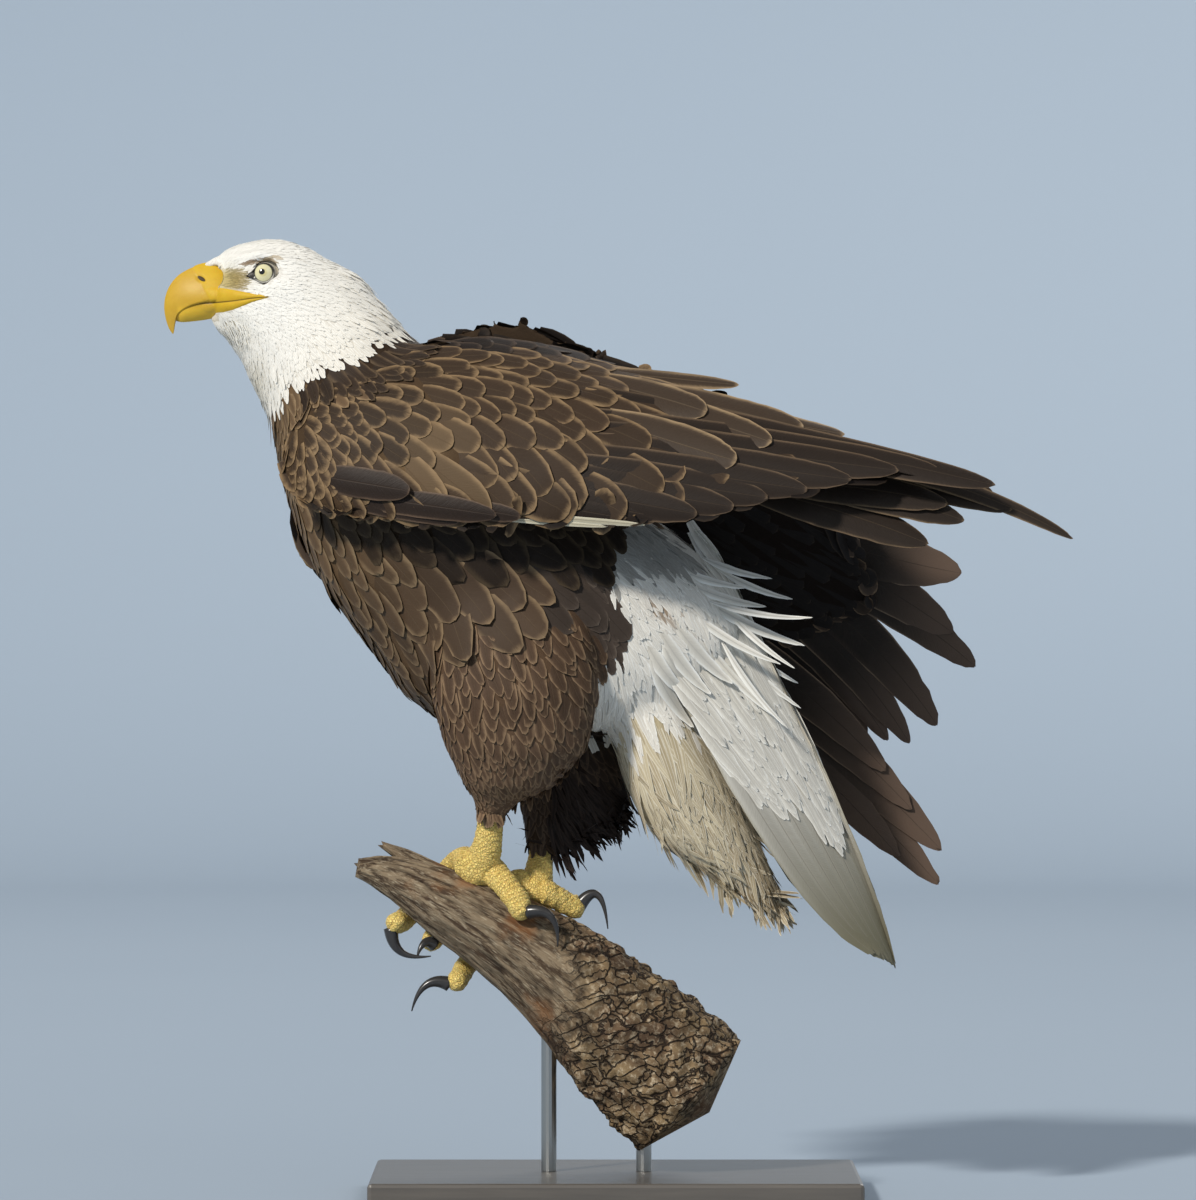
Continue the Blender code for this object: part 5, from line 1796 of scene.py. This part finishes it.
def on_stub(x, degrees, height):
    """The place at a height over the stub's bark, at an angle round it from the top."""
    z, radius = stub_at(x)
    slope = math.atan2(stub_at(x + 5)[0] - stub_at(x - 5)[0], 10)
    angle = math.radians(degrees)
    level = math.cos(angle)
    out = np.array([-math.sin(slope) * level, math.sin(angle), math.cos(slope) * level])
    return np.array([x, 0, z]) + out * (radius + height), out


def toe_course(row):
    """Rows of x, y, z and radius along a toe over the stub, and the way out from the bark at its end."""
    start_x, end_x, start_angle, end_angle, radius, hang = row
    rows = []
    for i in range(8):
        t = i / 7
        lift = radius - 0.6 + 1.2 * math.sin(math.pi * t * 3) ** 2 + hang * t ** 3
        angle = start_angle + (end_angle - start_angle) * t
        place, out = on_stub(start_x + (end_x - start_x) * t, angle, lift)
        rows.append((*place, radius * (1 - 0.14 * t)))
    return np.array(rows), out


def foot_material(settings):
    """Leathery yellow scales: raised plates with darker joints between them, painted shade in the folds, a
    low waxy gloss.
    """
    material, tree, shader = new_material("foot_skin", **{
        "Roughness": 0.5, "Specular IOR Level": 0.4, "Subsurface Weight": 0.08,
        "Subsurface Radius": (0.004, 0.002, 0.0006)})
    place = object_place(tree)
    scale = remap(tree, cell_gap(tree, place, 430.0), 0.0, 0.22)
    groove = attribute(tree, "shade", "Fac")
    mottle = noise(tree, place, 140.0, detail=5)
    colour = mix(tree, mottle, tuple(settings.skin), linear("#F8D470"))
    between = calc(tree, "SUBTRACT", 1.0, scale)
    colour = mix(tree, times(tree, between, 0.25), colour, linear("#D2A24A"))
    # Painted shade in the skin's folds
    colour = mix(tree, times(tree, groove, 0.5), colour, linear("#A87A38"))
    dress(tree, shader, colour, scale, 1.0, 0.9)
    return material


def crease(mesh, courses):
    """Folds the skin across each toe and the shank, deepest on the upper side, and paints shade into the
    folds.
    """
    tree = KDTree(sum(len(course) for course in courses))
    along = []
    for course in courses:
        steps = np.linalg.norm(np.diff(course, axis=0), axis=1)
        for place, far in zip(course, np.concatenate([[0], np.cumsum(steps)])):
            tree.insert(place, len(along))
            along.append(far)
    tree.balance()
    moved, shades_of = [], []
    for vert in mesh.vertices:
        place = vert.co / MM
        middle, index, _ = tree.find(place)
        out = (middle - Vector((middle.x, 0, stub_at(middle.x)[0]))).normalized()
        upper = 0.5 + 0.5 * max(-0.4, vert.normal.dot(out))
        far = along[index] + (place - middle).dot(Vector((0.5, -0.3, -0.6)))
        stray = 0.55 * solid_noise.noise(place * 0.11) + 0.12 * solid_noise.noise(place * 0.5)
        phase = far / 4.4 + stray
        fold = 1 - abs(math.sin(math.pi * phase)) ** 0.5
        pebble = solid_noise.noise(place * 0.42)
        lump = solid_noise.noise(place * 0.16)
        push = -1.25 * fold * upper + 0.35 * pebble + 0.6 * lump
        moved.append(vert.co + vert.normal * push * MM)
        # Painted shade: darkest in the deepest part of each fold
        shades_of.append(min(1.0, fold * upper * 1.1))
    mesh.vertices.foreach_set("co", np.array(moved).ravel())
    mesh.attributes.new("shade", "FLOAT", "POINT").data.foreach_set("value", shades_of)
    mesh.update()


def foot(label, shank, material):
    """One scaly shank and its toes, fused into one skin."""
    bm = bmesh.new()
    rows = eased(shank, 10)
    tube_mesh(bm, rows[:, :3], rows[:, 3] * 1.04, 26)
    courses = [rows[:, :3]]
    for toe in TOES:
        rows = eased(toe_course(TOE_ROWS[f"{label}_{toe}"])[0], 11)
        tube_mesh(bm, rows[:, :3], rows[:, 3], 26)
        end = rows[-1]
        ball = bmesh.ops.create_icosphere(bm, subdivisions=3, radius=end[3] * 0.96 * MM)["verts"]
        bmesh.ops.translate(bm, verts=ball, vec=Vector(end[:3]) * MM)
        courses.append(rows[:, :3])
    mesh = fused(mesh_of(bm, "foot"), 0.8 * MM, 4)
    crease(mesh, courses)
    nodes = ["shank_" + label] + [f"toe_{label}_{toe}" for toe in TOES]
    finish_piece("foot_" + label, mesh, material, nodes)


class EAGLE_OT_feet(bpy.types.Operator):
    """Makes the scaly shanks and toes"""
    bl_idname = "eagle.feet"
    bl_label = "Feet"

    def execute(self, context):
        material = foot_material(context.scene.eagle_feet)
        foot("left", LEFT_SHANK, material)
        foot("right", RIGHT_SHANK, material)
        return {"FINISHED"}


def claw_material(settings):
    """Polished black horn with fine lengthwise lines."""
    material, tree, shader = new_material("claw_horn", **{"Roughness": 0.24, "Specular IOR Level": 0.55})
    lines = noise(tree, object_place(tree, (60, 300, 60)), 1.0, detail=4)
    colour = mix(tree, times(tree, lines, 0.6), tuple(settings.claw), linear("#55524F"))
    dress(tree, shader, colour, lines, 0.2, 0.2)
    return material


def claw_line(toe):
    """Places along the middle of a claw, on a curve from its root past its crown to its point."""
    rows, out = toe_course(TOE_ROWS[toe])
    if toe in CLAW_PATHS:
        root, crown, point = (np.array(place, float) for place in CLAW_PATHS[toe])
    else:
        root = rows[-1, :3]
        along = unit(root - rows[-2, :3])
        crown = root + along * CLAW_LENGTH * 0.55 + out * 2
        point = root + along * CLAW_LENGTH * 0.7 - out * CLAW_LENGTH * 0.45
    t = np.linspace(0, 1, 22)[:, None]
    control = crown * 2 - (root + point) / 2
    return root * (1 - t) ** 2 + control * 2 * t * (1 - t) + point * t * t, t[:, 0]


class EAGLE_OT_claws(bpy.types.Operator):
    """Makes the eight claws"""
    bl_idname = "eagle.claws"
    bl_label = "Claws"

    def execute(self, context):
        material = claw_material(context.scene.eagle_feet)
        base = context.scene.eagle_feet.claw_root / MM
        for label in ("left", "right"):
            bm = bmesh.new()
            for toe in TOES:
                line, t = claw_line(f"{label}_{toe}")
                tube_mesh(bm, line, base + (0.5 - base) * t ** 0.85, 16)
            finish_piece("claws_" + label, mesh_of(bm, "claws"), material,
                         [f"claw_{label}_{toe}" for toe in TOES])
        return {"FINISHED"}


def wood_relief(place, turn, along_x, rough):
    """Height of the wood over the plain tube at a place in mm: cracks, ribs and, on the knot, bark."""
    grain = Vector((along_x * 0.012, math.cos(turn) * 1.6, math.sin(turn) * 1.6))
    crack = abs(solid_noise.noise(grain * 2.3)) ** 0.5
    rib = solid_noise.noise(grain * 5.0) * 0.35
    bark = solid_noise.turbulence(Vector(place) * 0.055, 4, True) - 0.55
    plain = (crack - 0.55) * 2.4 + rib
    return plain * (1 - rough) + bark * 7.5 * rough


def dead_wood_material(settings):
    """Sun-bleached wood: silver-grey ribs, dark checks along the grain with painted shade in them, brown
    bark left on the knot.
    """
    material, tree, shader = new_material("dead_wood", **{"Roughness": 0.86, "Specular IOR Level": 0.2})
    along = attribute(tree, "grain", "Vector")
    grain = add_node(tree, "Mapping", {"Vector": along, "Scale": (0.016, 0.16, 0.16)}).outputs[0]
    lines = noise(tree, grain, 1.3, detail=9, roughness=0.66, distortion=0.25)
    fine = noise(tree, grain, 5.0, detail=6)
    blotch = noise(tree, object_place(tree), 26.0, detail=5)
    bark = attribute(tree, "bark", "Fac")
    crack_shade = attribute(tree, "shade", "Fac")
    wood = mix(tree, remap(tree, lines, 0.40, 0.56), linear("#4A3B2E"), tuple(settings.wood))
    wood = mix(tree, remap(tree, fine, 0.5, 0.72, 0.0, 0.5), wood, linear("#C9BCA2"))
    wood = mix(tree, remap(tree, blotch, 0.52, 0.72, 0.0, 0.65), wood, linear("#8E5F38"))
    rind = mix(tree, remap(tree, blotch, 0.35, 0.65), tuple(settings.bark), linear("#6B5440"))
    bent = noise(tree, object_place(tree), 45.0, detail=4)
    bend = combine(tree, times(tree, bent, 3.0), 0.0, times(tree, bent, 3.4))
    slab = vector(tree, "ADD", object_place(tree, (60, 60, 125)), bend)
    crack = remap(tree, cell_gap(tree, slab, 1.0), 0.0, 0.10)
    flake = noise(tree, object_place(tree), 220.0, detail=6, roughness=0.7)
    rind = mix(tree, remap(tree, flake, 0.48, 0.66, 0.0, 0.85), rind, linear("#CDBB9E"))
    rind = mix(tree, calc(tree, "SUBTRACT", 1.0, crack), rind, linear("#2A2019"))
    colour = mix(tree, bark, wood, rind)
    # Painted shade where the wood's relief sinks into its cracks
    colour = mix(tree, crack_shade, colour, linear("#241C16"))
    height = calc(tree, "ADD", lines, times(tree, fine, 0.5))
    chips = times(tree, bark, calc(tree, "MULTIPLY_ADD", crack, 1.6, flake))
    dress(tree, shader, colour, calc(tree, "ADD", height, chips), 0.9, 1.7)
    return material


def branch_mesh():
    """The stub and its upper splinter, with the relief of their wood."""
    bm = bmesh.new()
    shade = bm.verts.layers.float.new("shade")
    rind_layer = bm.verts.layers.float.new("bark")
    grain_layer = bm.verts.layers.float_vector.new("grain")
    for rows, y, segments in ((STUB, 0.0, 110), (SPLINTER, SPLINTER_Y, 48)):
        rows = eased([(x, y, z, radius) for x, z, radius in rows], 14)
        course, radii = rows[:, :3], rows[:, 3]
        ways = unit(np.gradient(course, axis=0))
        made = tube_mesh(bm, course, radii, segments)
        for i, row in enumerate(made):
            for k, vert in enumerate(row):
                turn = 2 * math.pi * k / segments
                place = np.array(vert.co) / MM
                way = place - course[i]
                x = place[0]
                rough = 1 / (1 + math.exp(-(x + 38 + 12 * math.sin(turn * 3)) / 7))
                rise = min(wood_relief(place, turn, x, rough), 1.2 + 2.6 * rough)
                spot = Vector((math.cos(turn) * 2.2, math.sin(turn) * 2.2, y))
                splinter = max(0.0, 1 - i / 9) * 9.0 * solid_noise.noise(spot)
                place = place + way / max(np.linalg.norm(way), 1e-6) * rise + ways[i] * splinter
                vert.co = Vector(place * MM)
                vert[rind_layer] = rough
                vert[grain_layer] = (x, math.cos(turn) * radii[i] + y, math.sin(turn) * radii[i])
                # Painted shade: darker the deeper the relief sinks
                vert[shade] = min(1.0, max(0.0, (-rise - 0.2) / 1.4)) * (1 - 0.5 * rough)
    bmesh.ops.recalc_face_normals(bm, faces=bm.faces)
    return mesh_of(bm, "perch")


class EAGLE_OT_perch(bpy.types.Operator):
    """Makes the cut length of dead branch"""
    bl_idname = "eagle.perch"
    bl_label = "Perch"

    def execute(self, context):
        material = dead_wood_material(context.scene.eagle_perch)
        finish_piece("perch_wood", branch_mesh(), material, ("perch_branch",))
        return {"FINISHED"}


class EAGLE_OT_stand(bpy.types.Operator):
    """Finishes the base and rods of the display stand"""
    bl_idname = "eagle.stand"
    bl_label = "Stand"

    def execute(self, context):
        settings = context.scene.eagle_perch
        # Dark stained, satin varnished wood with its grain just showing
        wood, tree, shader = new_material("varnished_stand_wood", **{
            "Roughness": 0.42, "Coat Weight": 0.15})
        grain = noise(tree, object_place(tree, (4, 60, 60)), 3.0, detail=7, roughness=0.6)
        dress(tree, shader, mix(tree, grain, tuple(settings.base), linear("#6E675F")), grain, 0.2, 0.3)
        # Brushed steel: fine rings round the rod spread its highlight
        steel, tree, shader = new_material("brushed_steel", **{
            "Base Color": (*linear("#B9B9B5"), 1.0), "Metallic": 1.0, "Roughness": 0.3})
        brush = noise(tree, object_place(tree, (20, 20, 900)), 1.0, detail=3)
        tree.links.new(bump(tree, brush, 0.15, 0.1), shader.inputs["Normal"])
        for node, material in (
                ("stand_base", wood), ("stand_rod_front", steel), ("stand_rod_rear", steel)):
            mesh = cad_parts[node].data
            mesh.materials.clear()
            mesh.materials.append(material)
        return {"FINISHED"}


def backdrop_material(settings):
    """Matt paint, so that the object stands out by its own light and shade."""
    material, tree, shader = new_material("painted_backdrop", **{
        "Roughness": 0.95, "Specular IOR Level": 0.1})
    tone = noise(tree, object_place(tree), 0.6, detail=2)
    tree.links.new(mix(tree, times(tree, tone, 0.25), tuple(settings.backdrop), linear("#AEBAC6")),
                   shader.inputs["Base Color"])
    return material


def lay_floor(material):
    """A flat floor that turns up into a low wall all round."""
    bm = bmesh.new()
    bend = [(6.5 + 2.5 * math.sin(turn), 2.5 - 2.5 * math.cos(turn))
            for turn in np.linspace(0.1, math.pi / 2, 15)]
    line = [bm.verts.new((x, 0, z)) for x, z in ((0.0, 0.0), (6.5, 0.0), *bend, (9.0, 3.6))]
    edges = [bm.edges.new(pair) for pair in zip(line, line[1:])]
    bmesh.ops.spin(bm, geom=line + edges, cent=(0, 0, 0), axis=(0, 0, 1), angle=2 * math.pi, steps=96,
                   use_merge=True)
    bmesh.ops.remove_doubles(bm, verts=bm.verts, dist=1e-5)
    bmesh.ops.recalc_face_normals(bm, faces=bm.faces)
    bmesh.ops.reverse_faces(bm, faces=bm.faces)
    mesh = mesh_of(bm, "floor")
    mesh.materials.append(material)
    mesh.shade_smooth()
    floor = bpy.data.objects.new("floor", mesh)
    bpy.context.scene.collection.objects.link(floor)


def hang_lights():
    """Soft studio light: a pale sky and three wide lights."""
    world = bpy.data.worlds.new("studio")
    world.use_nodes = True
    tree = world.node_tree
    tree.nodes.clear()
    sky = add_node(tree, "Background", {"Color": (*linear("#D2D6DA"), 1.0), "Strength": 0.52})
    add_node(tree, "OutputWorld", {"Surface": sky.outputs[0]})
    bpy.context.scene.world = world
    # Direction, size in the sky, strength and colour of each light
    for name, way, spread, power, colour in (
            ("key", (-2.2, -3.2, 2.5), 0.10, 2.85, (1.0, 0.955, 0.885)),
            ("fill", (2.6, -4.2, 1.6), 0.9, 0.28, (0.92, 0.96, 1.0)),
            ("back", (1.8, 3.2, 2.8), 0.5, 0.9, (1.0, 0.98, 0.95))):
        light = bpy.data.lights.new(name, "SUN")
        light.angle = spread
        light.energy = power
        light.color = colour
        lamp = bpy.data.objects.new(name, light)
        lamp.location = way
        lamp.rotation_euler = Vector(way).to_track_quat("Z", "Y").to_euler()
        bpy.context.scene.collection.objects.link(lamp)


def set_camera(settings):
    """The camera, square to the bird's side."""
    camera = bpy.data.cameras.new("camera")
    camera.lens = camera.sensor_width * settings.distance / settings.view_height
    eye = bpy.data.objects.new("camera", camera)
    eye.location = (settings.centre_x, -settings.distance, settings.centre_z)
    eye.rotation_euler = (math.pi / 2, 0, 0)
    bpy.context.scene.collection.objects.link(eye)
    bpy.context.scene.camera = eye
    bpy.context.scene.view_settings.view_transform = "Standard"


class EAGLE_OT_stage(bpy.types.Operator):
    """Makes the floor, lights and camera"""
    bl_idname = "eagle.stage"
    bl_label = "Stage"

    def execute(self, context):
        settings = context.scene.eagle_stage
        lay_floor(backdrop_material(settings))
        hang_lights()
        set_camera(settings)
        return {"FINISHED"}


PIECES = (
    EAGLE_OT_skin, EAGLE_OT_head_coat, EAGLE_OT_body_coat, EAGLE_OT_wing_coats, EAGLE_OT_flight_feathers,
    EAGLE_OT_tail, EAGLE_OT_bill, EAGLE_OT_eyes, EAGLE_OT_feet, EAGLE_OT_claws, EAGLE_OT_perch,
    EAGLE_OT_stand, EAGLE_OT_stage,
)


class EAGLE_PT_panel(bpy.types.Panel):
    """Settings and pieces of the eagle"""
    bl_idname = "EAGLE_PT_panel"
    bl_label = "Bald eagle"
    bl_space_type = "VIEW_3D"
    bl_region_type = "UI"
    bl_category = "Eagle"

    def draw(self, context):
        for name, group in GROUPS.items():
            box = self.layout.box()
            for setting in group.__annotations__:
                box.prop(getattr(context.scene, name), setting)
        for piece in PIECES:
            self.layout.operator(piece.bl_idname)


GROUPS = {
    "eagle_plumage": EaglePlumage, "eagle_head": EagleHead, "eagle_feet": EagleFeet,
    "eagle_perch": EaglePerch, "eagle_stage": EagleStage,
}


def register():
    for name, group in GROUPS.items():
        bpy.utils.register_class(group)
        setattr(bpy.types.Scene, name, bpy.props.PointerProperty(type=group))
    for piece in (*PIECES, EAGLE_PT_panel):
        bpy.utils.register_class(piece)


def unregister():
    for piece in (*PIECES, EAGLE_PT_panel):
        bpy.utils.unregister_class(piece)
    for name, group in GROUPS.items():
        delattr(bpy.types.Scene, name)
        bpy.utils.unregister_class(group)


def main():
    register()
    for piece in PIECES:
        group, name = piece.bl_idname.split(".")
        getattr(getattr(bpy.ops, group), name)()


if __name__ == "__main__":
    main()
